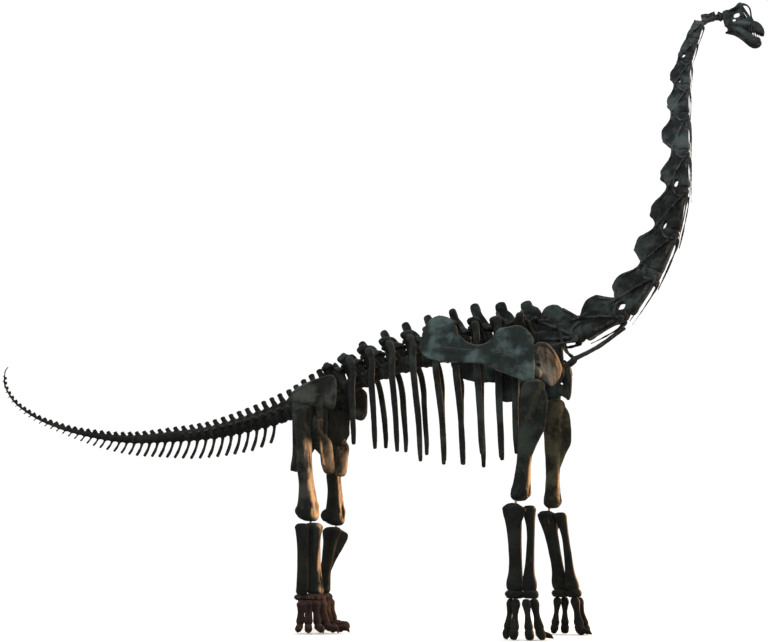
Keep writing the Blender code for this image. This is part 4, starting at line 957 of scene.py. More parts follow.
def head():
    """Skull: a solid vault and a long muzzle as slices, paired bars and one thin arch that frame the
    nostrils as tubes, blunt teeth on a quarter ellipse along the mouth, and slanted bars cut out for the
    eyes and the lower openings."""
    middle = [
        slices(((8.337, 10.835, 10.56, 0, 0.10), (8.39, 10.845, 10.46, 0, 0.128),
                (8.47, 10.825, 10.41, 0, 0.148), (8.55, 10.845, 10.38, 0, 0.150),
                (8.61, 10.885, 10.37, 0, 0.138), (8.645, 10.90, 10.42, 0, 0.115)),
               26, 5, 0.85, 0.2),
        slices(((8.60, 10.46, 10.34, 0, 0.105), (8.68, 10.49, 10.305, 0, 0.112),
                (8.77, 10.505, 10.285, 0, 0.104), (8.83, 10.475, 10.265, 0, 0.098),
                (8.89, 10.43, 10.225, 0, 0.086), (8.935, 10.36, 10.195, 0, 0.066),
                (8.955, 10.30, 10.195, 0, 0.042)), fullness=0.8),
        tube(((8.60, 0, 10.875, 0.050), (8.685, 0, 10.89, 0.026), (8.739, 0, 10.858, 0.018),
              (8.774, 0, 10.797, 0.016), (8.789, 0, 10.69, 0.015), (8.786, 0, 10.59, 0.017),
              (8.80, 0, 10.48, 0.024)), steps=8),
        tube(((8.33, 0, 10.712, 0.040), (8.40, 0, 10.69, 0.05)), dome=0.3),
    ]
    bars = [
        tube(((8.77, 0.098, 10.45, 0.028), (8.72, 0.108, 10.60, 0.024), (8.67, 0.108, 10.74, 0.024),
              (8.63, 0.085, 10.86, 0.032))),
        slices(((8.60, 10.51, 10.38, 0.11, 0.03), (8.68, 10.535, 10.36, 0.108, 0.028),
                (8.79, 10.49, 10.36, 0.088, 0.024))),
        tube(((8.44, 0.125, 10.45, 0.034), (8.54, 0.13, 10.44, 0.045), (8.64, 0.12, 10.41, 0.052),
              (8.74, 0.105, 10.37, 0.044)), (0, 1, 0), flat=1.2),
        tube(((8.40, 0.115, 10.70, 0.036), (8.41, 0.128, 10.57, 0.036), (8.39, 0.122, 10.45, 0.038)), dome=0.2),
        tube(((8.46, 0.130, 10.740, 0.030), (8.55, 0.143, 10.760, 0.034), (8.62, 0.125, 10.83, 0.032)),
             (0, 1, 0)),
        tube(((8.63, 0.125, 10.80, 0.026), (8.635, 0.132, 10.68, 0.026), (8.62, 0.135, 10.58, 0.030))),
    ]
    teeth = []
    for part in np.linspace(0.20, 0.97, 11):
        angle = part * math.pi / 2
        x, y = 8.60 + 0.345 * math.sin(angle) ** 0.9, 0.095 * math.cos(angle) ** 0.5
        z = np.interp(x, (8.6, 8.83, 8.95), (10.315, 10.275, 10.205))
        teeth.append(tube(((x, y, z + 0.03, 0.011, 0.009), (x + 0.004, y, z - 0.015, 0.014, 0.010),
                           (x, 0.97 * y, z - 0.048, 0.006, 0.004)), steps=3, sides=8))
    openings = [sloped_bar(*row) for row in ((8.556, 10.694, 0.050, 0.062, -20),
                                             (8.507, 10.602, 0.034, 0.026, -38))]
    dents = [((8.555, side * 0.17, 10.69), (0.10, 0.10, 0.12), (0, -side * 0.045, 0)) for side in (1, -1)]
    dents += [((8.47, side * 0.17, 10.60), (0.05, 0.08, 0.10), (0, -side * 0.03, 0)) for side in (1, -1)]
    bone("skull_bones", middle + both(bars + teeth), ["skull"], HEAD, voxel=0.4, soften=2, relief=0.0022,
         grain=(0.5, 0.5, 0.5), dents=dents, cutters=openings)


def sloped_bar(x, z, long, high, turn):
    """Oval bar right across the head, rising to its left, with its section turned by `turn` degrees."""
    c, s = math.cos(math.radians(turn)), math.sin(math.radians(turn))
    ends = [(x, y, z + 0.66 * y) for y in (-0.4, 0, 0.4)]
    return loft(ends, [(long * c, 0, long * s)] * 3, [(-high * s, 0, high * c)] * 3, 20, 1.0, 0.1)


def jaw():
    """Lower jaw: two bowed branches as slices, deepest in front where they meet, with a low rise at the
    rear, and teeth on a quarter ellipse."""
    rows = ((8.335, 10.485, 10.452, 0.112, 0.018), (8.385, 10.49, 10.425, 0.112, 0.026),
            (8.44, 10.475, 10.39, 0.110, 0.028), (8.52, 10.44, 10.31, 0.106, 0.028),
            (8.60, 10.37, 10.205, 0.100, 0.027), (8.68, 10.27, 10.07, 0.090, 0.028),
            (8.77, 10.17, 9.985, 0.070, 0.032), (8.85, 10.08, 9.975, 0.040, 0.036),
            (8.885, 10.04, 9.995, 0.012, 0.034))
    branches = [slices(rows, fullness=0.85)]
    for part in np.linspace(0.25, 0.95, 9):
        angle = part * math.pi / 2
        x, y = 8.58 + 0.295 * math.sin(angle) ** 0.9, 0.090 * math.cos(angle) ** 0.5
        z = np.interp(x, (8.6, 8.68, 8.77, 8.9), (10.34, 10.25, 10.155, 10.03))
        branches.append(tube(((x, y, z - 0.02, 0.010, 0.008), (x + 0.002, y, z + 0.018, 0.011, 0.008),
                              (x + 0.004, 0.97 * y, z + 0.038, 0.005, 0.004)), steps=3, sides=8))
    bone("jaw_bones", both(branches), ["jaw"], HEAD, voxel=0.4, soften=2, relief=0.0022, grain=(0.8, 0.5, 0.5),
         dents=[((8.50, side * 0.14, 10.36), (0.09, 0.05, 0.03), (0, -side * 0.012, 0)) for side in (1, -1)])


# Shoulder

def scapula(name, side):
    """Shoulder blade: slices of its side outline, thick along the middle, fanned at the rear and swollen
    towards the joint, with tubes for a ridge across its front half and for its upper rim."""
    def face(x, z, out):
        """How far out the tilted blade's face lies, which turns inward towards the front."""
        return SCAPULA_Y + out - np.interp(x, (3.9, 4.7), (0.0, 0.10)) - SCAPULA_TILT * (z - SCAPULA_Z)

    rows = np.array(((2.595, 5.09, 4.93), (2.65, 5.34, 4.80), (2.78, 5.51, 4.70), (2.95, 5.545, 4.63),
                     (3.15, 5.46, 4.58), (3.36, 5.08, 4.56), (3.55, 4.92, 4.53), (3.72, 4.86, 4.50),
                     (3.92, 4.92, 4.42), (4.00, 5.04, 4.38), (4.08, 5.13, 4.33), (4.23, 5.15, 4.25),
                     (4.38, 5.16, 4.17), (4.52, 5.11, 4.09), (4.62, 5.01, 4.08), (4.69, 4.88, 4.09)))
    rows = smooth(np.insert(rows, 1, 0, axis=1), 5)[:, [0, 2, 3]]
    middle, half = 0.5 * (rows[:, 1] + rows[:, 2]), 0.5 * (rows[:, 1] - rows[:, 2])
    thick = np.interp(rows[:, 0], (2.7, 3.1, 3.7, 4.1, 4.5, 4.7), (0.026, 0.032, 0.046, 0.045, 0.075, 0.075))
    zero = np.zeros(len(rows))
    plate = loft(np.stack([rows[:, 0], face(rows[:, 0], middle, thick - 0.012), middle], 1),
                 np.stack([zero, thick, zero], 1), np.stack([zero, -SCAPULA_TILT * half, half], 1), 36, 0.85,
                 0.5)
    ridge = tube([(x, face(x, z, 0.035 + out), z, wide)
                  for x, z, out, wide in ((3.05, 4.84, 0.0, 0.05), (3.55, 4.71, 0.014, 0.07),
                                          (3.95, 4.62, 0.015, 0.06), (4.20, 4.58, 0.03, 0.07),
                                          (4.42, 4.42, 0.05, 0.09), (4.56, 4.24, 0.05, 0.10),
                                          (4.63, 4.16, 0.03, 0.09))], (0, 0, 1), flat=0.55, sides=20)
    rim = tube([(x, face(x, z, 0.03), z, wide)
                for x, z, wide in ((3.97, 4.92, 0.03), (4.10, 5.06, 0.045), (4.32, 5.10, 0.050),
                                   (4.52, 5.04, 0.050))],
               (0, 1, 0), sides=14)
    dents = [((4.32, side * 0.93, 4.80), (0.22, 0.16, 0.20), (0, -side * 0.030, 0)),
             ((2.97, side * 0.88, 5.12), (0.30, 0.14, 0.28), (0, -side * 0.018, 0)),
             ((4.64, side * 0.84, 4.60), (0.10, 0.12, 0.22), (0, -side * 0.020, 0))]
    bone(name + "_blade", sided([plate, ridge, rim], side), [name], BLADE, soften=4, dents=dents, relief=0.008,
         grain=(2.5, 1, 1))


def coracoid(name, side):
    """Rounded plate before the shoulder blade as slices that turn inward to the chest, a tube for its lip,
    a knob at the joint, and a slanted bar cut out for its one opening."""
    rows = ((SUTURE_X + 0.004, 4.75, 4.18, 0.805, 0.058), (4.76, 4.80, 4.14, 0.77, 0.056),
            (4.83, 4.82, 4.09, 0.72, 0.056), (4.90, 4.80, 4.03, 0.65, 0.066), (4.97, 4.70, 4.08, 0.55, 0.080),
            (5.02, 4.58, 4.21, 0.445, 0.085), (5.045, 4.48, 4.32, 0.380, 0.070))
    lip = tube(((4.71, 0.83, 4.62, 0.03), (4.79, 0.79, 4.74, 0.035), (4.89, 0.70, 4.75, 0.036),
                (4.97, 0.58, 4.62, 0.034), (5.02, 0.48, 4.46, 0.03)), sides=14)
    knob = blob(4.74, 0.81, 4.24, 0.06, 0.07, 0.09)
    hole = tube(((4.66, 0.98, 4.38, 0.030), (4.79, 0.74, 4.38, 0.030), (4.90, 0.52, 4.38, 0.030)), steps=2)
    dents = [((4.92, side * 0.72, 4.42), (0.16, 0.16, 0.24), (-0.012, -side * 0.020, 0))]
    bone(name + "_plate", sided([slices(rows, 26, fullness=0.9), lip, knob], side), [name], CORACOID, voxel=0.9,
         soften=4, dents=dents, relief=0.007, grain=(1, 1, 1), cutters=sided([hole], side))


# Limbs: upright bones between two joints, as rows of part of the way down, x shift, y shift, half-length
# and half-width

HUMERUS = ((0, 0, 0, 0.12, 0.11), (0.02, 0, 0.01, 0.17, 0.18), (0.06, 0, 0.015, 0.195, 0.21),
           (0.12, 0, 0.02, 0.20, 0.21), (0.20, 0, 0.02, 0.195, 0.18), (0.32, 0, 0.01, 0.18, 0.135),
           (0.45, 0, 0, 0.155, 0.115), (0.58, 0, 0, 0.135, 0.11), (0.72, 0, 0, 0.125, 0.11),
           (0.86, 0, 0, 0.145, 0.155), (0.94, 0, 0, 0.16, 0.18), (0.985, 0, 0, 0.14, 0.16),
           (1, 0, 0, 0.11, 0.13))
FEMUR = ((0, 0, -0.16, 0.10, 0.12), (0.02, 0, -0.12, 0.13, 0.20), (0.06, 0, -0.05, 0.14, 0.25),
         (0.12, 0, -0.02, 0.13, 0.24), (0.20, 0, 0, 0.125, 0.20), (0.38, 0, 0, 0.13, 0.175),
         (0.55, -0.02, 0, 0.14, 0.155), (0.70, 0, 0, 0.14, 0.155), (0.84, 0, 0, 0.17, 0.19),
         (0.93, -0.01, 0, 0.20, 0.21), (0.985, 0.0, 0, 0.17, 0.18), (1, 0.02, 0, 0.13, 0.14))
ULNA = ((0, 0, 0, 0.11, 0.10), (0.03, 0, 0, 0.16, 0.145), (0.08, 0, 0, 0.165, 0.145),
        (0.2, 0.01, 0, 0.14, 0.105), (0.5, 0.02, 0, 0.112, 0.08), (0.8, 0.015, 0, 0.118, 0.08),
        (0.92, 0, 0, 0.140, 0.105), (0.97, 0, 0, 0.135, 0.11), (1, 0, 0, 0.12, 0.10))
RADIUS = ((0, -0.02, 0, 0.090, 0.085), (0.03, -0.025, 0, 0.115, 0.105), (0.08, -0.02, 0, 0.105, 0.095),
          (0.25, 0, 0, 0.070, 0.07), (0.55, -0.01, 0, 0.068, 0.06), (0.82, -0.03, 0, 0.095, 0.075),
          (0.95, -0.035, 0, 0.130, 0.10), (1, -0.035, 0, 0.115, 0.09))
TIBIA = ((0, 0, 0, 0.16, 0.13), (0.03, 0.0, 0, 0.19, 0.155), (0.08, 0.0, 0, 0.18, 0.15),
         (0.18, 0.0, 0, 0.145, 0.125), (0.4, 0, 0, 0.125, 0.10), (0.7, 0, 0, 0.115, 0.10),
         (0.90, 0, 0, 0.145, 0.125), (0.97, 0, 0, 0.15, 0.13), (1, 0, 0, 0.13, 0.11))
FIBULA = ((0, 0, 0, 0.10, 0.045), (0.03, 0, 0, 0.135, 0.06), (0.10, 0.01, 0, 0.138, 0.058),
          (0.25, 0.02, 0, 0.122, 0.05), (0.6, 0.02, 0, 0.112, 0.048), (0.90, 0.01, 0, 0.120, 0.055),
          (0.97, 0, 0, 0.115, 0.058), (1, 0, 0, 0.10, 0.05))

# The five toes: the angle at which each leaves the ankle, the one it points at, its size and its reach
TOES = ((-32, -6, 0.080, 0.54), (4, 10, 0.076, 0.41), (39, 34, 0.078, 0.32), (72, 60, 0.078, 0.25),
        (106, 80, 0.074, 0.20))


def line_at(part, top, bottom):
    """x, y, z on the straight line between two joints given as z, x, y."""
    place = np.array(top) + (np.array(bottom) - np.array(top)) * part
    return np.array((place[1], place[2], place[0]))


def limb(rows, top, bottom):
    """Shaft of level rings: each row's centre lies its part of the way from the top joint to the bottom one,
    plus its shift."""
    rows = np.array(rows, float)
    line = np.array(top) + (np.array(bottom) - np.array(top)) * rows[:, :1]
    line[:, 1:] += rows[:, 1:3]
    return stack(np.hstack([line, rows[:, 3:5]]), 26, 6, fullness=0.92, dome=0.25)


def crest(top, bottom, rows, way, wide=0.05):
    """Plate standing out from a bone: rows of part of the way down and how far out its edge lies along
    `way`; it is a loft of level flat ovals from the bone's middle to that edge."""
    way = np.array((*way, 0.0)) / np.linalg.norm(way)
    beside = np.cross((0, 0, 1), way)
    rows = smooth([(*line_at(part, top, bottom), out) for part, out in rows], 6)
    centres = rows[:, :3] + way * rows[:, 3:4] * 0.5
    return loft(centres, way * np.maximum(rows[:, 3:4] * 0.5, 0.03), beside * wide * np.ones((len(rows), 1)),
                20, 0.9, 0.5)


def fore_limb(word, side):
    """Upper arm: rings down its line, a crest in front, knobs at both ends and dents between them. Forearm:
    rings for the ulna, with two crests at the elbow, and for the radius."""
    elbow, wrist = FORE_X[word]
    x, y = SHOULDER_X[word], SHOULDER_Y
    top, bottom = (GLENOID_Z - 0.001, x, y), (HUMERUS_END, elbow, y)
    at = [line_at(part, top, bottom) for part in (0.07, 0.93, 0.95)]
    skins = [limb(HUMERUS, top, bottom),
             crest(top, bottom, ((0.05, 0.18), (0.12, 0.265), (0.22, 0.31), (0.34, 0.325), (0.43, 0.315),
                                 (0.51, 0.24), (0.60, 0.165), (0.70, 0.09)), (1, 0.25), 0.06),
             blob(at[0][0] - 0.04, at[0][1] - 0.05, at[0][2] - 0.02, 0.15, 0.15, 0.11),
             blob(at[1][0] + 0.045, at[1][1] - 0.085, at[1][2] - 0.02, 0.11, 0.09, 0.10),
             blob(at[1][0] + 0.045, at[1][1] + 0.085, at[1][2] - 0.02, 0.11, 0.09, 0.10)]
    dents = [((at[1][0] - 0.16, side * at[1][1], at[1][2] + 0.10), (0.12, 0.10, 0.22), (0.05, 0, 0)),
             ((at[1][0] + 0.18, side * at[1][1], at[1][2] - 0.03), (0.12, 0.05, 0.16), (-0.05, 0, 0)),
             ((at[0][0] + 0.20, side * (at[0][1] - 0.04), at[0][2] - 0.34), (0.16, 0.12, 0.44), (-0.04, 0, 0))]
    bone("humerus_bone_" + word, sided(skins, side), ["humerus_" + word],
         FORE_LIMB if side < 0 else OLIVE_LIMB, dents=dents, relief=0.009)

    top, bottom = (FOREARM_TOP, elbow - 0.12, y + 0.02), (WRIST_Z, wrist - 0.10, y + 0.02)
    head_at = line_at(0.06, top, bottom)
    skins = [limb(ULNA, top, bottom),
             crest(top, bottom, ((0.01, 0.14), (0.05, 0.25), (0.14, 0.23), (0.24, 0.15), (0.38, 0.08)),
                   (1, 0.45), 0.055),
             crest(top, bottom, ((0.02, 0.10), (0.08, 0.17), (0.22, 0.14), (0.36, 0.07)), (0.1, -1), 0.05)]
    dents = [((head_at[0] + 0.19, side * (head_at[1] - 0.14), head_at[2] - 0.10), (0.14, 0.12, 0.30),
              (-0.03, side * 0.03, 0))]
    bone("ulna_bone_" + word, sided(skins, side), ["ulna_" + word], DARK_FORE, dents=dents, relief=0.005)
    top, bottom = (FOREARM_TOP - 0.04, elbow + 0.165, y - 0.03), (WRIST_Z, wrist + 0.15, y - 0.03)
    bone("radius_bone_" + word, sided([limb(RADIUS, top, bottom)], side), ["radius_" + word], DARK_FORE,
         voxel=0.9, relief=0.004)
    pin("elbow_pin_" + word, elbow - 0.06, side * (y + 0.02), FOREARM_TOP - 0.10, HUMERUS_END + 0.02)
    fore_foot(word, side, wrist, y)


def knob_bone(start, end, head_size, shaft_size, foot_size, across=(1, 0, 0)):
    """Short long-bone between two points: a tube, a little flat, whose width falls from the knobbed ends to
    the shaft."""
    start, end = np.array(start, float), np.array(end, float)
    sizes = ((0.0, 0.80 * head_size), (0.10, head_size), (0.28, 0.5 * (head_size + shaft_size)),
             (0.5, shaft_size), (0.74, 0.5 * (foot_size + shaft_size)), (0.90, foot_size),
             (1.0, 0.85 * foot_size))
    return tube([(*(start + (end - start) * part), size, 0.9 * size) for part, size in sizes], across, 4, 16,
                dome=0.45)


def fore_foot(word, side, x, y):
    """Wrist: two blocks of level rings. Five fingers stand in a fan round the wrist, nearly upright: a
    knobbed bone, a short tube for the pad and, on the first, a bent tube for the claw."""
    wrist = [stack(((WRIST_Z - 0.004, x - 0.11, y + 0.01, 0.125, 0.10),
                    (WRIST_Z - 0.03, x - 0.11, y + 0.01, 0.15, 0.13),
                    (CARPAL_END + 0.03, x - 0.11, y + 0.01, 0.148, 0.13),
                    (CARPAL_END + 0.004, x - 0.11, y + 0.01, 0.13, 0.12)), dome=0.1),
             stack(((WRIST_Z - 0.004, x + 0.15, y - 0.02, 0.10, 0.10),
                    (WRIST_Z - 0.03, x + 0.14, y - 0.02, 0.125, 0.12),
                    (CARPAL_END + 0.03, x + 0.14, y - 0.02, 0.125, 0.12),
                    (CARPAL_END + 0.004, x + 0.14, y - 0.02, 0.11, 0.11)), dome=0.1)]
    bone("carpal_blocks_" + word, sided(wrist, side), ["carpals_" + word], DARK_FORE, voxel=0.8, relief=0.006,
         grain=(1, 1, 1))
    centre = np.array((x + 0.02, y))
    for number in range(5):
        turn = math.radians(FIRST_FINGER + FINGER_STEP * number)
        out = np.array((math.cos(turn), math.sin(turn)))
        start, foot = centre + out * (0.19, 0.125), centre + out * (0.27, 0.17)
        skins = [knob_bone((*start, CARPAL_END - 0.03), (*(foot - 0.005 * out), 0.150), 0.074, 0.044, 0.072)]
        toe = foot + 0.02 * out
        skins.append(tube(((*foot, 0.130, 0.074, 0.068), (*toe, 0.075, 0.074, 0.066),
                           (*(toe + 0.01 * out), 0.034, 0.066, 0.045)),
                          (-out[1], out[0], 0), 4, 16, dome=0.6))
        if number == 0:
            tip = foot + (0.20, -0.06)
            skins.append(tube(((*(foot + 0.02 * out), 0.075, 0.050, 0.045),
                               (*(0.5 * (foot + tip)), 0.075, 0.046, 0.040),
                               (*(0.2 * foot + 0.8 * tip), 0.055, 0.036, 0.030), (*tip, 0.028, 0.012, 0.012)),
                              (0, 0, 1), 5, 14, dome=0.8))
        bone(f"finger_bones_{number + 1}_{word}", sided(skins, side), [f"finger_{number + 1}_{word}"],
             DARK_FORE, voxel=0.65, relief=0.003, grain=(1, 1, 2))


def pin(name, x, y, low, high):
    """Plain round steel rod: the same level ring from its low to its high end."""
    rows = [(z, x, y, PIN_RADIUS, PIN_RADIUS) for z in (low, high)]
    body = in_scene(name, mesh_of(name, [stack(rows, 24, 3, 1.0, 0.05)]))
    set_points(body.data, points_of(body.data) - (CENTRE_X, CENTRE_Y, 0))
    coated(body.data, STEEL)
    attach(body, "root")


def steel():
    """Dull steel, lighter and darker in fine level lines."""
    made = bpy.data.materials.new("brushed_steel")
    made.use_nodes = True
    tree = made.node_tree
    shader = tree.nodes["Principled BSDF"]
    drawn = tree.nodes.new("ShaderNodeMapping")
    drawn.inputs["Scale"].default_value = (8.0, 8.0, 260.0)
    tree.links.new(object_coords(tree), drawn.inputs["Vector"])
    lines = noise(tree, drawn.outputs["Vector"], 1.0, 3.0)
    tree.links.new(mixed(tree, lines, (0.22, 0.22, 0.22, 1), (0.42, 0.42, 0.41, 1)),
                   shader.inputs["Base Color"])
    tree.links.new(sums(tree, "MULTIPLY_ADD", lines, 0.3, 0.5), shader.inputs["Roughness"])
    shader.inputs["Metallic"].default_value = 0.9
    return made


STEEL = steel()


# Pelvis and hind limbs

def ilium(name, side):
    """Hip blade: slices of its side outline, a leg of level rings for each bone that hangs from it, and a
    tube for its upper rim."""
    rows = ((-0.42, 4.32, 4.22, 0.43, 0.028), (-0.36, 4.38, 4.18, 0.43, 0.04), (-0.24, 4.45, 4.14, 0.425, 0.05),
            (-0.08, 4.54, 4.10, 0.435, 0.055), (0.15, 4.61, 4.10, 0.435, 0.055),
            (0.36, 4.66, 4.13, 0.445, 0.055), (0.56, 4.69, 4.03, 0.54, 0.050), (0.68, 4.67, 3.98, 0.61, 0.048),
            (0.75, 4.62, 4.00, 0.64, 0.042), (0.800, 4.56, 4.08, 0.665, 0.032))
    legs = [stack(((4.34, 0.33, 0.46, 0.13, 0.06), (4.15, 0.345, 0.455, 0.10, 0.058),
                   (4.00, 0.35, 0.45, 0.085, 0.055), (PUBIS_TOP + 0.003, 0.36, 0.44, 0.10, 0.055)), dome=0.05),
            stack(((4.30, -0.19, 0.44, 0.11, 0.05), (4.12, -0.21, 0.44, 0.08, 0.05),
                   (ISCHIUM_TOP + 0.003, -0.215, 0.44, 0.075, 0.05)), dome=0.05)]
    rim = tube(((-0.30, 0.43, 4.42, 0.045), (-0.08, 0.44, 4.53, 0.05), (0.15, 0.44, 4.60, 0.05),
                (0.36, 0.455, 4.645, 0.045), (0.56, 0.530, 4.66, 0.04), (0.70, 0.610, 4.63, 0.034)), sides=14)
    dents = [((0.15, side * 0.52, 4.36), (0.34, 0.12, 0.17), (0, -side * 0.03, 0)),
             ((0.60, side * 0.64, 4.38), (0.18, 0.14, 0.24), (0, -side * 0.024, 0))]
    bone(name + "_blade", sided([slices(rows, 26, fullness=0.85)] + legs + [rim], side), [name], HIP_BLADE,
         soften=4, dents=dents, grain=(2, 1, 1))


def pubis(name, side):
    """Forward hip bone: level rings for a slender neck under the socket and a blade that turns inward and
    down, a tube for its rear edge, and as a piece of its own an upright wall, lofted from it to the
    middle, that closes the front of the basin."""
    rows = ((PUBIS_TOP - 0.004, 0.36, 0.44, 0.10, 0.05), (3.78, 0.36, 0.435, 0.082, 0.055),
            (3.68, 0.362, 0.43, 0.068, 0.056), (3.58, 0.38, 0.415, 0.075, 0.058),
            (3.45, 0.42, 0.38, 0.125, 0.060), (3.20, 0.43, 0.31, 0.140, 0.065),
            (3.02, 0.44, 0.27, 0.135, 0.070), (2.92, 0.445, 0.25, 0.125, 0.072),
            (2.86, 0.45, 0.24, 0.100, 0.062))
    edge = tube(((0.34, 0.44, 3.52, 0.030), (0.35, 0.40, 3.30, 0.034), (0.37, 0.33, 3.00, 0.040)), (0, 1, 0))
    plan = np.array(((0.49, 0.50), (0.42, 0.42), (0.34, 0.22), (0.26, 0.03)))
    inner = loft(np.column_stack([plan, (3.90, 3.82, 3.79, 3.78)]), [(0.026, -0.012, 0)] * 4,
                 [(0, 0, half) for half in (0.22, 0.36, 0.37, 0.35)], 20, 0.9, 0.2)
    # The wall's darker finish is painted shade in the basin.
    bone(name + "_wall", sided([inner], side), [name], BASIN_SHADE, relief=0.008, grain=(1, 1, 1))
    dents = [((0.46, side * 0.44, 3.28), (0.10, 0.10, 0.26), (0, -side * 0.018, 0))]
    # The pubis's finish is painted sunlight.
    bone(name + "_bone", sided([stack(rows, 24), edge], side), [name], PUBIS, soften=3, dents=dents,
         relief=0.006)


def ischium(name, side):
    """Rear hip bone: level rings that slope back and down to a thick tip beside its twin, and a plate of
    slices in front that closes the basin under the socket."""
    rows = ((ISCHIUM_TOP - 0.004, -0.215, 0.44, 0.075, 0.05), (3.86, -0.205, 0.41, 0.09, 0.046),
            (3.72, -0.21, 0.35, 0.115, 0.042), (3.45, -0.25, 0.26, 0.118, 0.040),
            (3.20, -0.35, 0.14, 0.09, 0.045), (3.06, -0.415, 0.075, 0.09, 0.058),
            (2.97, -0.445, 0.06, 0.075, 0.052))
    plate = slices(((-0.22, 3.90, 3.44, 0.36, 0.032), (-0.08, 3.97, 3.30, 0.36, 0.036),
                    (0.06, 3.99, 3.24, 0.36, 0.036), (0.18, 3.97, 3.29, 0.37, 0.036),
                    (0.28, 3.80, 3.38, 0.38, 0.028)), 22, fullness=0.85)
    dents = [((0.03, side * 0.44, 3.52), (0.20, 0.12, 0.18), (0, -side * 0.02, 0))]
    bone(name + "_bone", [cut_middle(skin, side) for skin in sided([stack(rows, 22), plate], side)], [name],
         HIP_BLADE, soften=3, dents=dents, relief=0.006, grain=(1, 1, 1))


def cut_middle(skin, side):
    """Keeps a skin on its own side of the middle plane."""
    points = skin[0].copy()
    points[:, 1] = np.maximum(points[:, 1] * side, 0.002) * side
    return (points,) + skin[1:]


def hind_limb(word, side):
    """Thigh bone: rings down its line, a knob for its head, a crest behind, knobs at the knee, one more on
    the left, and dents between them. Shin: rings for the tibia, with a crest, and for the fibula."""
    knee, ankle = HIND_X[word]
    x, y = HIP
    top, bottom = (SOCKET_Z - 0.001, x, y), (FEMUR_END, knee, y)
    high, low = line_at(0.05, top, bottom), line_at(0.90, top, bottom)
    skins = [limb(FEMUR, top, bottom), blob(high[0], high[1] - 0.17, high[2] - 0.04, 0.13, 0.14, 0.13),
             crest(top, bottom, ((0.36, 0.10), (0.46, 0.145), (0.56, 0.155), (0.66, 0.12)), (-1, -0.5), 0.05),
             blob(low[0] - 0.06, low[1] - 0.10, low[2] - 0.05, 0.15, 0.095, 0.12),
             blob(low[0] - 0.06, low[1] + 0.11, low[2] - 0.05, 0.15, 0.095, 0.12),
             blob(low[0] + 0.08, low[1] - 0.08, low[2] + 0.02, 0.10, 0.07, 0.13),
             blob(low[0] + 0.08, low[1] + 0.09, low[2] + 0.02, 0.10, 0.07, 0.13)]
    if side > 0:
        skins.append(blob(low[0] - 0.09, low[1] - 0.15, low[2] - 0.05, 0.15, 0.10, 0.13))
    dents = [((low[0] + 0.20, side * low[1], low[2] + 0.02), (0.12, 0.06, 0.22), (-0.05, 0, 0)),
             ((low[0] - 0.22, side * low[1], low[2] - 0.04), (0.14, 0.06, 0.20), (0.06, 0, 0)),
             ((high[0] + 0.16, side * (high[1] - 0.02), high[2] - 0.20), (0.12, 0.16, 0.26), (-0.03, 0, 0))]
    bone("femur_bone_" + word, sided(skins, side), ["femur_" + word], THIGH if side < 0 else FAR_THIGH,
         dents=dents, relief=0.006)

    head = knee + SHIN_SHIFT[word]
    top, bottom = (SHIN_TOP, head, y - 0.03), (ANKLE_Z, ankle + 0.09, y - 0.02)
    skins = [limb(TIBIA, top, bottom),
             crest(top, bottom, ((0.02, 0.20), (0.08, 0.33), (0.14, 0.35), (0.26, 0.30), (0.45, 0.20),
                                 (0.65, 0.12), (0.85, 0.05)), (1, 0.9), 0.05)]
    bone("tibia_bone_" + word, sided(skins, side), ["tibia_" + word], SHIN if side < 0 else DARK_SHIN,
         relief=0.0055)
    top, bottom = (SHIN_TOP, head - 0.105, y + 0.20), (ANKLE_Z, ankle - 0.095, y + 0.16)
    bone("fibula_bone_" + word, sided([limb(FIBULA, top, bottom)], side), ["fibula_" + word], DARK_SHIN,
         voxel=0.9, relief=0.004)
    pin("knee_pin_" + word, knee + 0.03, side * (y - 0.02), SHIN_TOP - 0.10, FEMUR_END + 0.02)
    hind_foot(word, side, ankle, y)


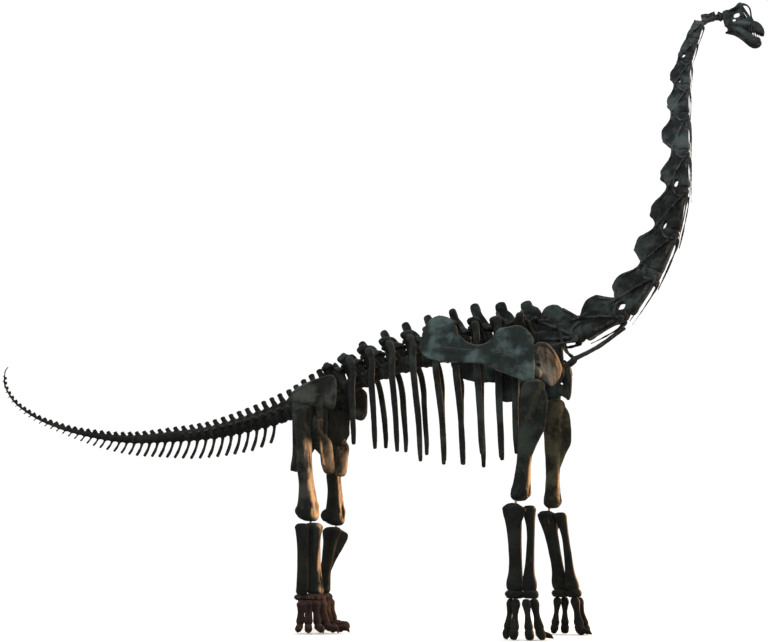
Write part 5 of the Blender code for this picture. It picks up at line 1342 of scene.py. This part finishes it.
def hind_foot(word, side, x, y):
    """Ankle: a block of level rings with rounded knobs round it. Five toes: a knobbed bone down to the
    knuckle, three knobs in a falling row and a tube for the claw, all along the way that the toe points."""
    middle = 0.5 * (ANKLE_Z + TARSAL_END)
    ankle = [stack(((ANKLE_Z - 0.004, x + 0.03, y + 0.01, 0.19, 0.14),
                    (ANKLE_Z - 0.03, x + 0.02, y + 0.01, 0.235, 0.18),
                    (TARSAL_END + 0.02, x + 0.03, y + 0.01, 0.235, 0.18),
                    (TARSAL_END + 0.004, x + 0.03, y + 0.01, 0.21, 0.16)), dome=0.1),
             blob(x - 0.15, y + 0.13, middle, 0.12, 0.10, 0.052),
             blob(x + 0.17, y - 0.09, middle, 0.11, 0.10, 0.053),
             blob(x + 0.08, y + 0.14, middle - 0.005, 0.10, 0.09, 0.050),
             blob(x - 0.10, y + 0.10, TARSAL_END, 0.09, 0.09, 0.055),
             blob(x + 0.10, y + 0.12, TARSAL_END - 0.005, 0.08, 0.08, 0.05),
             blob(x + 0.20, y - 0.02, TARSAL_END, 0.09, 0.10, 0.06)]
    bone("tarsal_block_" + word, sided(ankle, side), ["tarsus_" + word], RUST, voxel=0.8,
         relief=0.018, grain=(1, 1, 1))
    centre = np.array((x, y + 0.03))
    for number, (root, turn, size, reach) in enumerate(TOES):
        root, turn = np.radians((root, turn))
        out = np.array((math.cos(turn), math.sin(turn)))
        beside = (-out[1], out[0], 0)
        start = centre + np.array((math.cos(root), math.sin(root))) * (0.23, 0.165)
        knuckle, tip = start + out * 0.09, start + out * reach
        skins = [knob_bone((*start, TARSAL_END - 0.025), (*knuckle, 0.17), 1.35 * size, 0.85 * size,
                           1.00 * size, beside)]
        for part, high in zip(np.linspace(0.08, 0.62, 3), (0.125, 0.105, 0.085)):
            skins.append(blob(*(knuckle + (tip - knuckle) * part), high, 0.85 * size, 0.85 * size, 0.80 * size))
        mid = knuckle + (tip - knuckle) * 0.66
        skins.append(tube(((*mid, 0.095, 0.72 * size, 0.70 * size),
                           (*(0.6 * mid + 0.4 * tip), 0.098, 0.62 * size, 0.66 * size),
                           (*(0.25 * mid + 0.75 * tip), 0.070, 0.40 * size, 0.48 * size),
                           (*tip, 0.022, 0.10 * size, 0.14 * size)),
                          beside, 5, 14, dome=0.8))
        bone(f"toe_bones_{number + 1}_{word}", sided(skins, side), [f"toe_{number + 1}_{word}"], RUST,
             voxel=0.65, relief=0.0035, grain=(1, 1, 1.5))


# Studio

def studio():
    """Pale floor, soft lights and the camera at the front right of the animal, low and looking up."""
    floor = bpy.data.meshes.new("floor")
    r = FLOOR_REACH
    floor.from_pydata([(-r, -r, 0), (r, -r, 0), (r, r, 0), (-r, r, 0)], [], [(0, 1, 2, 3)])
    pale = bpy.data.materials.new("pale_floor")
    pale.use_nodes = True
    shader = pale.node_tree.nodes["Principled BSDF"]
    shader.inputs["Base Color"].default_value = (0.97, 0.97, 0.97, 1)
    shader.inputs["Roughness"].default_value = 0.9
    floor.materials.append(pale)
    in_scene("floor", floor)

    world = bpy.data.worlds.new("soft_room")
    world.use_nodes = True
    sky = world.node_tree.nodes["Background"]
    sky.inputs["Color"].default_value = (1.0, 1.0, 1.0, 1)
    sky.inputs["Strength"].default_value = 1.06
    bpy.context.scene.world = world
    bpy.context.scene.view_settings.view_transform = "Standard"

    for name, place, aim, size, power, colour in (
            ("sky_panel", (3.0, -14.0, 16.0), (2.0, 0.0, 4.0), 9.0, 1500.0, (0.93, 0.97, 1.0)),
            ("warm_panel", (16.0, 9.0, 5.0), (1.5, 0.5, 3.0), 5.0, 4000.0, (1.0, 0.68, 0.38))):
        lamp = bpy.data.lights.new(name, "AREA")
        lamp.shape, lamp.size, lamp.energy, lamp.color = "DISK", size, power, colour
        holder = in_scene(name, lamp)
        way = np.array(aim) - np.array(place)
        holder.location = place
        holder.rotation_euler = (math.acos(-way[2] / np.linalg.norm(way)), 0,
                                 math.atan2(way[1], way[0]) - math.pi / 2)

    lens = bpy.data.cameras.new("camera")
    lens.lens = FOCAL_LENGTH * SENSOR_WIDTH / PHOTO_WIDTH
    lens.clip_end = 1000.0
    camera = in_scene("camera", lens)
    camera.location = np.array(CAMERA_AT) - (CENTRE_X, CENTRE_Y, 0)
    camera.rotation_euler = (math.radians(90 + CAMERA_RISE), 0, math.radians(CAMERA_TURN))
    bpy.context.scene.camera = camera


def main():
    """Every bone, and the studio round it."""
    head()
    jaw()
    neck()
    tail(sacrum(torso()))
    for word, side in (("right", -1), ("left", 1)):
        scapula("scapula_" + word, side)
        coracoid("coracoid_" + word, side)
        fore_limb(word, side)
        ilium("ilium_" + word, side)
        pubis("pubis_" + word, side)
        ischium("ischium_" + word, side)
        hind_limb(word, side)
    studio()


main()
